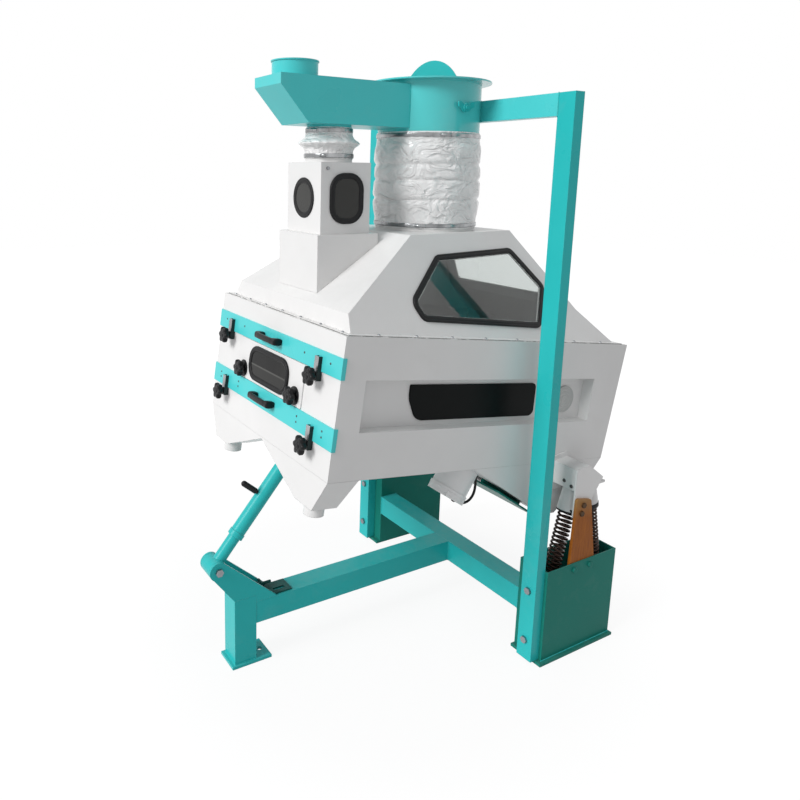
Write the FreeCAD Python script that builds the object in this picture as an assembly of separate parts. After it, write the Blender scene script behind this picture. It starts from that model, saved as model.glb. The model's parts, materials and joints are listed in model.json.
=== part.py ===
import FreeCAD, Part
import math
import os

V = FreeCAD.Vector

# Suction destoner for cleaning grain: a vibrating screen body on springs and an
# adjustable front strut, inside a tube frame that also holds the air duct and feed chute.
# All sizes are in millimetres. X runs across the machine, the strut stands at the front
# (low Y), the spring boxes at the rear, and Z = 0 is the floor. While it is being
# modelled, Y = 0 is the line about which the body was levelled; each piece is saved
# moved along Y so that the origin lies under the middle of the machine's outline.

# Widths that everything else across the machine is measured from
deck_half = 370.0
deck_side_space = 44.0
body_half = deck_half + deck_side_space

# Heights that the pieces over the body are measured from
inlet_low = 1464.0
inlet_height = 223.0
inlet_high = inlet_low + inlet_height
ring_height = 48.0
duct_over_ring = 233.0
duct_low = inlet_low + ring_height + duct_over_ring
duct_length = 211.0
duct_high = duct_low + duct_length

# Frame
floor_plate = 10.0
tube_wall = 5.0
leg_width = 84.0
leg_front = -552.0
leg_depth = 80.0
leg_top = 248.0
beam_width = 82.0
beam_low = 143.0
beam_height = 80.0
beam_top = beam_low + beam_height
front_foot_width = 100.0
front_foot_front = -564.0
front_foot_rear = -417.0
anchor_hole_r = 9.0
anchor_hole_y = -440.0
box_under_body = 4.0
box_inner = body_half - box_under_body
box_width = 122.0
box_outer = box_inner + box_width
box_front = 377.0
box_rear = 725.0
box_top = 341.0
box_wall = 5.0
crossbeam_depth = 81.0
rear_foot_margin = 13.0
rear_foot_front = box_front - 18.0
rear_foot_rear = box_rear + 6.0
post_width = 63.0
post_depth = 39.0
post_inset = 12.0
post_outer = box_outer - post_inset
post_inner = post_outer - post_width
post_front = box_front - post_depth
post_under_duct = 56.0
post_top = duct_high - post_under_duct
arm_height = 69.0
post_bolt_heights = (82.0, 266.0)
post_bolt_r = 7.0
post_bolt_head = 22.0
post_nut = 11.0
bolt_clearance = 0.3

# Front pivot and strut
pivot_y = -607.0
pivot_z = 371.0
cheek_thickness = 8.0
cheek_eye_r = 32.0
cheek_foot_rear = -391.0
pivot_bolt_r = 8.0
pivot_bolt_head = 24.0
running_clearance = 0.06
boss_r = 32.0
boss_side_gap = 0.5
strut_angle = 50.0
strut_tube_r = 21.0
strut_tube_bore = 16.0
strut_tube_end = 250.0
sleeve_start = 117.0
sleeve_end = 405.0
sleeve_r = 25.0
collar_r = 27.5
collar_length = 18.0
rod_start = 290.0
rod_end = 438.0
strut_length = 467.0
eye_r = 24.0
eye_half_width = 12.0
lug_pin_r = 8.0
lug_r = 20.0
lug_plate = 8.0
lug_front = 32.0
lug_rear = 40.0
lug_base_half = 44.0
lug_base_rear = 60.0
lug_base_thickness = 6.0
lug_gap = 2.0
pin_head = 4.0
eye_play = 4.5
grip_at = 277.0
grip_stem_r = 5.0
grip_r = 10.0
grip_start = 34.0
grip_end = 98.0

# Stop bracket on the beam
bracket_front = -430.0
bracket_length = 100.0
bracket_side_gap = 0.5
bracket_plate = 6.0
bracket_tab_height = 34.0
stop_screw_r = 5.0
stop_screw_x = -18.0

# Rear springs and their boards
spring_side = 60.0
spring_x = box_inner + spring_side
coil_r = 24.0
wire_r = 4.0
coil_turns = 20
front_spring_y = 455.0
front_spring_lean = 13.7
rear_spring_y = 690.0
rear_spring_lean = -12.0
spring_floor = 250.0
cup_bore_depth = 40.0
seat_gap = 0.3
seat_plate_top = 228.0
seat_r = 31.0
cup_top_r = 27.0
cup_bottom_r = 33.0
cup_bore_r = 29.2
cup_length = 90.0
cup_overlap = 20.0
shelf_z = 600.0
shelf_thickness = 8.0
shelf_front = 500.0
shelf_rear = 660.0
bracket_wall = 8.0
bracket_skin = 6.0
bracket_plate_outline = ((500.0, 505.0), (500.0, 679.0), (560.0, 685.0), (579.0, 671.0), (637.0, 628.0), (585.0, 556.0),
                         (560.0, 505.0))
bracket_skin_outline = ((490.0, 570.0), (490.0, 694.0), (560.0, 700.0), (665.0, 640.0), (665.0, 570.0))
bracket_web_outline = ((500.0, 600.0), (506.0, 600.0), (506.0, 673.6), (560.0, 679.0), (560.0, 685.0), (500.0, 679.0))
board_outline = ((487.0, 285.0), (622.0, 285.0), (612.0, 345.0), (573.0, 562.0), (499.0, 578.0))
board_thickness = 10.0
board_bolt_r = 5.0
board_bolt_head = 17.0
board_nut = 9.0
bracket_nut = 4.5
board_low_bolts = ((508.0, 317.0), (587.0, 317.0))
board_high_bolts = ((532.0, 550.0), (525.0, 521.0))

# Screen body, drawn level and then turned by the deck tilt
deck_tilt = 7.36
tilt_z = 800.0
sheet = 3.0
body_front = -427.0
body_top = 1160.0
body_floor = 736.0
body_rear_top = 803.0
body_rear_low = 769.0
hopper_start = 135.0
outlet_front = 500.0
outlet_rear = 560.0
outlet_z = 545.0
rear_hopper_rear = 741.0
rear_hopper_rear_z = 699.0
front_hopper_rear_top = -318.0
front_hopper_rear_low = -337.0
hopper_taper = 65.0
hopper_mouth_width = 97.0
front_hopper_outer = body_half - hopper_taper
front_hopper_inner = front_hopper_outer - hopper_mouth_width
front_hopper_low = 627.0
notch_z = 731.0
spigot_inset = 54.0
spigot_x = front_hopper_outer - spigot_inset
spigot_y = -381.0
spigot_r = 32.0
spigot_length = 36.0
recess_depth = 44.0
recess_front = -340.0
recess_rear = 654.0
recess_low = 880.0
recess_high = 1034.0
port_y = 561.0
port_z = 951.0
port_r = 48.0

# Dark panels on the recess floors, each corner with the radius that rounds it
side_panel_corners = ((-143.0, 1010.0, 5.0), (406.0, 1010.0, 16.0), (413.0, 896.0, 22.0), (-105.0, 896.0, 42.0),
                      (-141.5, 966.0, 75.0))
side_panel_thickness = 6.0

# Hood
hood_inset = 29.0
hood_half = body_half - hood_inset
hood_slope = 0.53
hood_front = -395.0
hood_band = 55.0
hood_top_front = (-107.0, 1456.0)
hood_top_rear = (349.0, 1515.0)
hood_break = (600.0, 1268.0)
hood_rear = 762.0
hood_flange = 20.0
trap_window = ((-20.0, 1403.0), (325.0, 1454.0), (457.0, 1336.0), (392.0, 1199.0), (-120.0, 1203.0),
               (-157.0, 1258.0))
trap_corner_r = 26.0
rear_window_low = 1290.0
rear_window_high = 1470.0
rear_window_inset = 35.0
flange_screw_r = 5.0
flange_screw_height = 4.0
end_screw_pitch = 120.0
side_screw_first = 90.0
side_screw_pitch = 140.0

# Inlet box and its throat
throat_half = 125.0
throat_front = -302.0
throat_rear = -75.0
throat_height = 229.0
throat_low = inlet_low - throat_height
throat_reach = 35.0
inlet_half = 105.0
inlet_front = -281.0
inlet_rear = -96.0
inlet_pipe_r = 76.0
inlet_pipe_height = 35.0
feed_y = -190.0
round_window_r = 64.0
round_window_drop = 112.0
round_window_z = inlet_high - round_window_drop
side_window_y = -186.5
side_window_width = 125.0
side_window_height = 159.0
side_window_r = 52.0
seal_width = 14.0
seal_height = 8.0
pane_thickness = 4.0
flap_rod_r = 5.0
flap_y = -258.0
flap_drop = 19.0
flap_z = inlet_high - flap_drop
flap_angle = 52.0
flap_length = 118.0

# Duct, damper and feed chute
duct_y = 217.0
duct_r = 175.0
duct_wall = 3.0
flange_r = 208.0
flange_thickness = 5.0
damper_r = 168.0
damper_rise = 123.0
damper_z = duct_low + damper_rise
damper_thickness = 3.0
damper_shaft_r = 8.0
wing_hub_r = 14.0
wing_hub_length = 14.0
chute_half = 87.0
chute_front = -413.0
chute_under_duct = 14.0
chute_top = duct_high - chute_under_duct
chute_nose_depth = 31.0
chute_nose = chute_top - chute_nose_depth
chute_depth = 139.0
chute_low = chute_top - chute_depth
chute_slope_end = -316.0
collar_y = -318.0
feed_collar_r = 72.0
feed_collar_height = 48.0
feed_collar_top = chute_top + feed_collar_height
spout_r = 72.0
spout_length = 41.0
spout_low = chute_low - spout_length
sleeve_cloth = 2.5
cloth_gap = 0.4
band_height = 13.0
band_thickness = 1.8
big_lap_on_ring = 39.0
big_lap_on_duct = 48.0
small_lap_on_pipe = 24.0
small_lap_on_spout = 34.0
big_sleeve_low = inlet_low + ring_height - big_lap_on_ring
big_sleeve_high = duct_low + big_lap_on_duct
small_sleeve_low = inlet_high + inlet_pipe_height - small_lap_on_pipe
small_sleeve_high = spout_low + small_lap_on_spout

# Drawers, door and knobs on the front
bar_thickness = 4.0
upper_bar_low = 1036.0
upper_bar_high = 1098.0
lower_bar_low = 828.0
lower_bar_high = 895.0
bar_return = 10.0
bar_side_gap = 0.3
deck_length = 1120.0
deck_height = 38.0
deck_rail = 32.0
deck_sheet = 3.0
rail_thickness = 6.0
rail_gap = 0.3
slot_gap = 2.0
clamp_inset = 112.0
clamp_x = body_half - clamp_inset
clamp_width = 22.0
clamp_length = 73.0
clamp_overlap = 44.0
clamp_plate = 3.0
clamp_depth = 13.0
knob_drop = 17.0
knob_lobe_r = 8.0
knob_ring_r = 21.0
knob_core_r = 22.0
knob_thickness = 20.0
knob_neck_r = 11.0
knob_neck = 10.0
knob_bolt_r = 5.0
knob_base_r = 29.0
knob_base = 3.0
handle_half = 69.0
handle_block = 24.0
handle_depth = 36.0
handle_grip = 13.0
handle_height = 24.0
door_inset = 77.0
door_half = clamp_x - door_inset
door_gap = 2.0
door_thickness = 4.0
door_window_inset = 88.0
door_window_half = door_half - door_window_inset
door_window_height = 118.0
door_window_r = 50.0
door_knob_inset = 44.0
door_knob_x = door_half - door_knob_inset
door_knob_drop = 38.0

# Motors and outlet guide
motor_inset = 114.0
motor_x = body_half - motor_inset
motor_r = 62.0
motor_lean = 35.0
motor_y = 115.0
motor_z = 592.0
motor_length = 170.0
motor_cover = 92.0
motor_cover_thickness = 20.0
motor_seam_at = 12.0
motor_seam_rise = 4.0
motor_seam_width = 10.0
lead_r = 4.5
guide_gap = 14.0
guide_plate = 6.0
guide_inset = 12.0
guide_web_inset = 84.0
guide_start = 0.42
guide_end = 0.98


def box(x0, x1, y0, y1, z0, z1):
    return Part.makeBox(x1 - x0, y1 - y0, z1 - z0, V(x0, y0, z0))


def cylinder(radius, start, end):
    run = end - start
    return Part.makeCylinder(radius, run.Length, start, run)


def prism(points, run):
    outline = Part.makePolygon(points + [points[0]])
    return Part.Face(outline).extrude(run)


def side_prism(points, x0, x1):
    return prism([V(x0, y, z) for y, z in points], V(x1 - x0, 0, 0))


def front_prism(points, y0, y1):
    return prism([V(x, y0, z) for x, z in points], V(0, y1 - y0, 0))


def fuse(shapes):
    return shapes[0].fuse(shapes[1:]).removeSplitter()


def cut(shape, tools):
    for tool in tools:
        shape = shape.cut(tool)
    return shape


def mirrored(shape):
    return shape.mirror(V(0, 0, 0), V(1, 0, 0))


def pair(shape):
    return [shape, mirrored(shape)]


def round_edges(shape, run, radius):
    run = V(run).normalize()
    edges = []
    for edge in shape.Edges:
        if len(edge.Vertexes) == 2:
            along = (edge.Vertexes[1].Point - edge.Vertexes[0].Point).normalize()
            if abs(abs(along.dot(run)) - 1.0) < 1e-6:
                edges.append(edge)
    return shape.makeFillet(radius, edges)


def hex_bar(across, start, end):
    run = end - start
    side = V(0, 0, 1) if abs(run.z) < 0.9 * run.Length else V(1, 0, 0)
    u = run.cross(side).normalize()
    w = V(run).normalize().cross(u)
    r = across / math.sqrt(3.0)
    points = []
    for i in range(6):
        turn = math.radians(60 * i)
        points.append(start + u * (r * math.cos(turn)) + w * (r * math.sin(turn)))
    return prism(points, run)


def ring(inner, outer, y, z0, z1):
    body = cylinder(outer, V(0, y, z0), V(0, y, z1))
    return body.cut(cylinder(inner, V(0, y, z0 - 1), V(0, y, z1 + 1)))


def tilted(shape):
    turned = shape.copy()
    turned.rotate(V(0, 0, tilt_z), V(1, 0, 0), -deck_tilt)
    return turned


def tilted_point(y, z):
    turn = math.radians(deck_tilt)
    rise = z - tilt_z
    return (y * math.cos(turn) + rise * math.sin(turn), rise * math.cos(turn) - y * math.sin(turn) + tilt_z)


def bolt_with_head(radius, across, head, nut, start, end):
    run = (end - start).normalize()
    shank = cylinder(radius, start, end)
    cap = hex_bar(across, start - run * head, start)
    tail = hex_bar(across, end - run * nut, end)
    return fuse([shank, cap, tail])


# The front eye and the rear top edge of the body are the ends of the outline
centre_shift = (tilted_point(body_rear_top, body_top)[0] + pivot_y - cheek_eye_r) / 2


def save(name, shapes):
    if not isinstance(shapes, list):
        shapes = [shapes]
    placed = []
    for shape in shapes:
        moved = shape.copy()
        moved.translate(V(0, -centre_shift, 0))
        placed.append(moved)
        if not moved.isValid():
            print("not valid", name)
    result = placed[0] if len(placed) == 1 else Part.makeCompound(placed)
    result.exportStep("parts/" + name + ".step")


os.makedirs("parts", exist_ok=True)


# Front leg with its two cheeks
leg_rear = leg_front + leg_depth
front_leg = box(-leg_width / 2, leg_width / 2, leg_front, leg_rear, floor_plate, leg_top)
front_leg = front_leg.cut(box(tube_wall - leg_width / 2, leg_width / 2 - tube_wall, leg_front + tube_wall,
                              leg_rear - tube_wall, floor_plate - 1, leg_top - tube_wall))
save("front_leg", front_leg)

cheek_rise = V(0, cheek_foot_rear - pivot_y, beam_top - pivot_z).normalize()
cheek_normal = V(0, -cheek_rise.z, cheek_rise.y)
eye_top = V(0, pivot_y, pivot_z) + cheek_normal * cheek_eye_r
eye_low = V(0, pivot_y, pivot_z) - cheek_normal * cheek_eye_r
cheek_outline = [(eye_top.y, eye_top.z), (cheek_foot_rear, beam_top), (leg_rear, beam_top), (leg_rear, leg_top),
                 (leg_front, leg_top), (eye_low.y, eye_low.z)]
cheek_x = leg_width / 2 - cheek_thickness
cheek = side_prism(cheek_outline, cheek_x, leg_width / 2)
cheek = fuse([cheek, cylinder(cheek_eye_r, V(cheek_x, pivot_y, pivot_z), V(leg_width / 2, pivot_y, pivot_z))])
cheek = cheek.cut(cylinder(pivot_bolt_r + bolt_clearance, V(0, pivot_y, pivot_z), V(leg_width, pivot_y, pivot_z)))
save("front_cheeks", pair(cheek))

front_foot = box(-front_foot_width / 2, front_foot_width / 2, front_foot_front, front_foot_rear, 0, floor_plate)
front_foot = front_foot.cut(cylinder(anchor_hole_r, V(0, anchor_hole_y, -1), V(0, anchor_hole_y, floor_plate + 1)))
rear_foot = box(box_inner, box_outer + rear_foot_margin, rear_foot_front, rear_foot_rear, 0, floor_plate)
save("foot_plates", [front_foot] + pair(rear_foot))

long_beam = box(-beam_width / 2, beam_width / 2, leg_rear, box_front, beam_low, beam_top)
long_beam = long_beam.cut(box(tube_wall - beam_width / 2, beam_width / 2 - tube_wall, leg_rear - 1, box_front + 1,
                              beam_low + tube_wall, beam_top - tube_wall))
save("long_beam", long_beam)

rear_crossbeam = box(-box_inner, box_inner, box_front, box_front + crossbeam_depth, beam_low, beam_top)
rear_crossbeam = rear_crossbeam.cut(box(-box_inner - 1, box_inner + 1, box_front + tube_wall,
                                        box_front + crossbeam_depth - tube_wall, beam_low + tube_wall,
                                        beam_top - tube_wall))
save("rear_crossbeam", rear_crossbeam)

# Bolts that clamp each post to the front of its spring box
post_middle = post_outer - post_width / 2
post_bolts = []
post_bolt_holes = []
for z in post_bolt_heights:
    start = V(post_middle, post_front, z)
    end = V(post_middle, box_front + box_wall + post_nut, z)
    post_bolts.append(bolt_with_head(post_bolt_r, post_bolt_head, 9, post_nut, start, end))
    post_bolt_holes.append(cylinder(post_bolt_r + bolt_clearance, start - V(0, 1, 0), end))

post = box(post_inner, post_outer, post_front, box_front, floor_plate, post_top)
post = post.cut(box(post_inner + tube_wall, post_outer - tube_wall, post_front + tube_wall, box_front - tube_wall,
                    floor_plate - 1, post_top - tube_wall))
post = cut(post, post_bolt_holes)
save("post_right", post)
save("post_left", mirrored(post))

top_arm = box(0, post_inner, post_front, box_front, post_top - arm_height, post_top)
top_arm = top_arm.cut(box(-1, post_inner + 1, post_front + tube_wall, box_front - tube_wall,
                          post_top - arm_height + tube_wall, post_top - tube_wall))
top_arm = top_arm.cut(cylinder(duct_r, V(0, duct_y, duct_low), V(0, duct_y, duct_high)))
save("top_arms", pair(top_arm))


# Springs, their seats and their cups lean towards each other
def spring_axis(y, lean):
    turn = math.radians(lean)
    return V(spring_x, y, spring_floor), V(0, math.sin(turn), math.cos(turn))


spring_lines = [spring_axis(front_spring_y, front_spring_lean), spring_axis(rear_spring_y, rear_spring_lean)]

spring_box = box(box_inner, box_outer, box_front, box_rear, floor_plate, box_top)
spring_box = spring_box.cut(box(box_inner + box_wall, box_outer - box_wall, box_front + box_wall,
                                box_rear - box_wall, floor_plate + box_wall, box_top + 1))
seat_plate = box(box_inner + box_wall, box_outer - box_wall, box_front + box_wall, box_rear - box_wall,
                 seat_plate_top - box_wall, seat_plate_top)
seats = []
for foot, up in spring_lines:
    seat = cylinder(seat_r, foot - up * (spring_floor - seat_plate_top + 4), foot)
    seats.append(seat.cut(box(box_inner, box_outer, box_front, box_rear, 0, seat_plate_top - box_wall)))
spring_box = fuse([spring_box, seat_plate] + seats)
board_bolt_x0 = box_outer
board_bolt_x1 = box_outer - box_wall - board_thickness - board_nut
board_bolts = []
for y, z in board_low_bolts:
    start = V(board_bolt_x0, y, z)
    end = V(board_bolt_x1, y, z)
    board_bolts.append(bolt_with_head(board_bolt_r, board_bolt_head, 7, board_nut, start, end))
    spring_box = spring_box.cut(cylinder(board_bolt_r + bolt_clearance, start + V(1, 0, 0), end))
spring_box = cut(spring_box, post_bolt_holes)
save("spring_box_right", spring_box)
save("spring_box_left", mirrored(spring_box))

# Plain boards between the box walls and the body's spring brackets
board_x1 = box_outer - box_wall
board_x0 = board_x1 - board_thickness
board = side_prism(board_outline, board_x0, board_x1)
board_holes = []
for y, z in board_low_bolts + board_high_bolts:
    board_holes.append(cylinder(board_bolt_r + bolt_clearance, V(board_x0 - 1, y, z), V(board_x1 + 1, y, z)))
board = cut(board, board_holes)
save("support_boards", pair(board))

pivot_bolt = bolt_with_head(pivot_bolt_r, pivot_bolt_head, 9, 9, V(leg_width / 2, pivot_y, pivot_z),
                            V(-leg_width / 2 - 9, pivot_y, pivot_z))
frame_bolts = [pivot_bolt]
for bolt in post_bolts + board_bolts:
    frame_bolts += pair(bolt)
save("frame_bolts", frame_bolts)

springs = []
for foot, up in spring_lines:
    reach = (shelf_z - spring_floor) / up.z
    length = reach - cup_length + cup_bore_depth - seat_gap
    pitch = (length - 2 * wire_r) / coil_turns
    helix = Part.makeHelix(pitch, pitch * coil_turns, coil_r)
    section = Part.Wire([Part.makeCircle(wire_r, V(coil_r, 0, 0), V(0, 1, 0))])
    coil = Part.Wire(helix).makePipeShell([section], True, True)
    coil.rotate(V(0, 0, 0), V(1, 0, 0), -math.degrees(math.atan2(up.y, up.z)))
    coil.translate(foot + up * wire_r)
    springs += pair(coil)
save("rear_springs", springs)

# Strut between the front pivot and the lugs under the body
turn = math.radians(strut_angle)
strut_up = V(0, math.cos(turn), math.sin(turn))
strut_out = V(0, -math.sin(turn), math.cos(turn))
strut_base = V(0, pivot_y, pivot_z)
boss_half = cheek_x - boss_side_gap


def on_strut(distance):
    return strut_base + strut_up * distance


boss = cylinder(boss_r, V(-boss_half, pivot_y, pivot_z), V(boss_half, pivot_y, pivot_z))
strut_foot = fuse([boss, cylinder(strut_tube_r, strut_base, on_strut(strut_tube_end))])
strut_foot = strut_foot.cut(cylinder(strut_tube_bore, on_strut(boss_r + tube_wall), on_strut(strut_tube_end + 1)))
strut_foot = strut_foot.cut(cylinder(pivot_bolt_r + running_clearance, V(-leg_width, pivot_y, pivot_z),
                                     V(leg_width, pivot_y, pivot_z)))
save("strut_foot", strut_foot)

sleeve_bore = strut_tube_r + running_clearance
strut_sleeve = fuse([cylinder(sleeve_r, on_strut(sleeve_start), on_strut(sleeve_end)),
                     cylinder(collar_r, on_strut(sleeve_start), on_strut(sleeve_start + collar_length))])
strut_sleeve = strut_sleeve.cut(cylinder(sleeve_bore, on_strut(sleeve_start - 1), on_strut(sleeve_end + 1)))
grip_base = on_strut(grip_at)
strut_sleeve = strut_sleeve.cut(cylinder(grip_stem_r, grip_base, grip_base + strut_out * grip_end))
save("strut_sleeve", strut_sleeve)

grip = fuse([cylinder(grip_stem_r, grip_base + strut_out * (sleeve_bore + 0.5), grip_base + strut_out * grip_start),
             cylinder(grip_r, grip_base + strut_out * grip_start, grip_base + strut_out * (grip_end - grip_r)),
             Part.makeSphere(grip_r, grip_base + strut_out * (grip_end - grip_r))])
save("strut_grip", grip)

strut_top = on_strut(strut_length)
rod = fuse([cylinder(strut_tube_r, on_strut(rod_start), on_strut(rod_end)),
            cylinder(eye_half_width, on_strut(rod_end - 5), strut_top),
            cylinder(eye_r, strut_top - V(eye_half_width, 0, 0), strut_top + V(eye_half_width, 0, 0))])
rod = rod.cut(cylinder(lug_pin_r + eye_play, strut_top - V(40, 0, 0), strut_top + V(40, 0, 0)))
save("strut_rod", rod)

# Stop bracket with its set screw
bracket_rear = bracket_front + bracket_length
bracket_half = cheek_x - bracket_side_gap
bracket = box(-bracket_half, bracket_half, bracket_front, bracket_rear, beam_top, beam_top + bracket_plate)
tab = box(stop_screw_x - 16, stop_screw_x + 16, bracket_front, bracket_front + bracket_plate, beam_top,
          beam_top + bracket_tab_height)
bracket = fuse([bracket, tab])
bracket = bracket.cut(box(4, 16, bracket_rear - 62, bracket_rear - 18, beam_top - 1, beam_top + bracket_plate + 1))
screw_z = beam_top + bracket_tab_height - 12
screw_start = V(stop_screw_x, bracket_front - 12, screw_z)
screw_end = V(stop_screw_x, bracket_front + 42, screw_z)
bracket = bracket.cut(cylinder(stop_screw_r + bolt_clearance, screw_start, screw_end))
stop_screw = fuse([cylinder(stop_screw_r, screw_start, screw_end),
                   hex_bar(16, screw_start - V(0, 7, 0), screw_start),
                   hex_bar(16, V(stop_screw_x, bracket_front - 8, screw_z), V(stop_screw_x, bracket_front, screw_z))])
save("stop_bracket", [bracket, stop_screw])

# Duct with flange, damper disc and locking wing
duct = ring(duct_r - duct_wall, duct_r, duct_y, duct_low, duct_high)
flange = ring(duct_r - duct_wall, flange_r, duct_y, duct_high, duct_high + flange_thickness)
duct = fuse([duct, flange])
shaft_hole = cylinder(damper_shaft_r + running_clearance, V(-flange_r, duct_y, damper_z), V(flange_r, duct_y, damper_z))
duct = duct.cut(shaft_hole)
save("duct", duct)

shaft_start = -duct_r - 8
shaft_end = duct_r + 8 + wing_hub_length
damper = cylinder(damper_r, V(0, duct_y - damper_thickness / 2, damper_z), V(0, duct_y + damper_thickness / 2, damper_z))
damper = fuse([damper, cylinder(damper_shaft_r, V(shaft_start, duct_y, damper_z), V(shaft_end, duct_y, damper_z))])
save("damper_disc", damper)

wing_x = duct_r + 5
wing = cylinder(wing_hub_r, V(wing_x, duct_y, damper_z), V(wing_x + wing_hub_length, duct_y, damper_z))
for side in (-1, 1):
    wing_plate = side_prism([(duct_y + side * 6, damper_z - 9), (duct_y + side * 32, damper_z + 2),
                             (duct_y + side * 34, damper_z + 18), (duct_y + side * 26, damper_z + 20),
                             (duct_y + side * 6, damper_z + 9)], wing_x + 5, wing_x + 10)
    wing = wing.fuse(wing_plate)
wing = wing.removeSplitter().cut(shaft_hole)
save("damper_wing", wing)

# Feed chute, closed at the duct, open at its collar and its spout
chute_rear = duct_y - math.sqrt(duct_r ** 2 - chute_half ** 2) + 60
chute_outline = [(chute_front, chute_top), (chute_front, chute_nose), (chute_slope_end, chute_low),
                 (chute_rear, chute_low), (chute_rear, chute_top)]
chute = side_prism(chute_outline, -chute_half, chute_half)
inner_outline = [(chute_front + sheet, chute_top - sheet), (chute_front + sheet, chute_nose + 1),
                 (chute_slope_end + 2, chute_low + sheet), (duct_y - duct_r - 2 * sheet, chute_low + sheet),
                 (duct_y - duct_r - 2 * sheet, chute_top - sheet)]
chute = chute.cut(side_prism(inner_outline, sheet - chute_half, chute_half - sheet))
chute = chute.cut(cylinder(duct_r, V(0, duct_y, duct_low), V(0, duct_y, duct_high + 50)))
collar_low = V(0, collar_y, chute_top - sheet)
spout_high = V(0, feed_y, chute_low + sheet)
feed_collar = ring(feed_collar_r - sheet, feed_collar_r, collar_y, chute_top, feed_collar_top)
feed_lip = ring(feed_collar_r - sheet, feed_collar_r + 3, collar_y, feed_collar_top - 4, feed_collar_top)
spout = ring(spout_r - sheet, spout_r, feed_y, spout_low, chute_low)
chute = chute.cut(cylinder(feed_collar_r - sheet, collar_low - V(0, 0, 1), V(0, collar_y, chute_top + 1)))
chute = chute.cut(cylinder(spout_r - sheet, V(0, feed_y, chute_low - 1), spout_high + V(0, 0, 1)))
chute = fuse([chute, feed_collar, feed_lip, spout])
save("feed_chute", chute)


# Cloth sleeves with a band at each end
def cloth_sleeve(y, low_r, high_r, z0, z1, swells):
    grip_length = band_height + 12
    outer = [(low_r + cloth_gap + sleeve_cloth, z0), (low_r + cloth_gap + sleeve_cloth, z0 + grip_length)]
    inner = [(low_r + cloth_gap, z0), (low_r + cloth_gap, z0 + grip_length)]
    for share, swell in swells:
        z = z0 + grip_length + share * (z1 - z0 - 2 * grip_length)
        r = low_r + share * (high_r - low_r) + cloth_gap + swell
        outer.append((r + sleeve_cloth, z))
        inner.append((r, z))
    outer += [(high_r + cloth_gap + sleeve_cloth, z1 - grip_length), (high_r + cloth_gap + sleeve_cloth, z1)]
    inner += [(high_r + cloth_gap, z1 - grip_length), (high_r + cloth_gap, z1)]
    outline = outer + inner[::-1]
    face = Part.Face(Part.makePolygon([V(r, 0, z) for r, z in outline + outline[:1]]))
    body = face.revolve(V(0, 0, 0), V(0, 0, 1), 360)
    body.translate(V(0, y, 0))
    return body


big_swells = ((0.12, 5.0), (0.28, 0.5), (0.43, 6.0), (0.5, 0.5), (0.62, 6.0), (0.7, 0.5), (0.86, 5.0))
small_swells = ((0.25, 10.0), (0.5, 16.0), (0.75, 9.0))
save("big_sleeve", cloth_sleeve(duct_y, duct_r, duct_r, big_sleeve_low, big_sleeve_high, big_swells))
save("small_sleeve", cloth_sleeve(feed_y, inlet_pipe_r, spout_r, small_sleeve_low, small_sleeve_high, small_swells))


def band(y, pipe_r, z0):
    inner = pipe_r + 2 * cloth_gap + sleeve_cloth
    strap = ring(inner, inner + band_thickness, y, z0, z0 + band_height)
    spot = inner + band_thickness / 2
    lug = box(spot, spot + 11, y - 9, y + 9, z0 + 2, z0 + band_height - 2)
    lug.rotate(V(0, y, 0), V(0, 0, 1), -40)
    return fuse([strap, lug.cut(cylinder(inner, V(0, y, z0 - 1), V(0, y, z0 + band_height + 1)))])


save("upper_bands", [band(duct_y, duct_r, big_sleeve_high - band_height - 5),
                     band(feed_y, spout_r, small_sleeve_high - band_height - 3)])
save("lower_bands", [band(duct_y, duct_r, big_sleeve_low + 5), band(feed_y, inlet_pipe_r, small_sleeve_low + 3)])

# Body shell
body_profile = [(body_front, body_top), (body_front, body_floor), (body_rear_low, body_floor),
                (body_rear_top, body_top)]
body_envelope = side_prism(body_profile, -body_half, body_half)
inner_profile = [(body_front + sheet, body_top - sheet), (body_front + sheet, body_floor + sheet),
                 (body_rear_low - sheet, body_floor + sheet), (body_rear_top - sheet, body_top - sheet)]
tray = body_envelope.cut(side_prism(inner_profile, sheet - body_half, body_half - sheet))
tray = tray.cut(box(sheet - hood_half, hood_half - sheet, hood_front + sheet, hood_rear - sheet,
                    body_top - 2 * sheet, body_top + 1))
hopper_mouth = box(-front_hopper_outer, front_hopper_outer, body_front + sheet, front_hopper_rear_top - 2 * sheet,
                   body_floor - 1, body_floor + 2 * sheet)
outlet_mouth = box(sheet - body_half, body_half - sheet, hopper_start + 3 * sheet, body_rear_low - 2 * sheet,
                   body_floor - 1, body_floor + 2 * sheet)
tray = cut(tray, [hopper_mouth, outlet_mouth])
recess_floor = body_half - recess_depth
pan = box(recess_floor - sheet, body_half - sheet, recess_front - sheet, recess_rear + sheet, recess_low - sheet,
          recess_high + sheet)
pans = pair(pan)
pockets = pair(box(recess_floor, body_half + 1, recess_front, recess_rear, recess_low, recess_high))
upper_deck_low = recess_high + sheet + rail_thickness + rail_gap + slot_gap
lower_deck_low = recess_low - sheet - slot_gap - deck_height
rails = []
for low in (upper_deck_low, lower_deck_low):
    rail = box(deck_half - deck_rail, body_half - sheet, body_front + sheet, body_rear_low - 60,
               low - rail_gap - rail_thickness, low - rail_gap)
    rails += pair(rail)
tray = fuse([tray] + pans + rails)
tray = cut(tray, pockets)
for low in (upper_deck_low, lower_deck_low):
    tray = tray.cut(box(-deck_half - slot_gap, deck_half + slot_gap, body_front - 1, body_front + sheet + 1,
                        low - slot_gap, low + deck_height + slot_gap))
door_mid = (upper_bar_low + lower_bar_high) / 2
window_gap = 24.0
tray = tray.cut(box(window_gap - door_window_half, door_window_half - window_gap, body_front - 1,
                    body_front + sheet + 1, door_mid - door_window_height / 2 + window_gap,
                    door_mid + door_window_height / 2 - window_gap))
knob_spots = []
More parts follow.
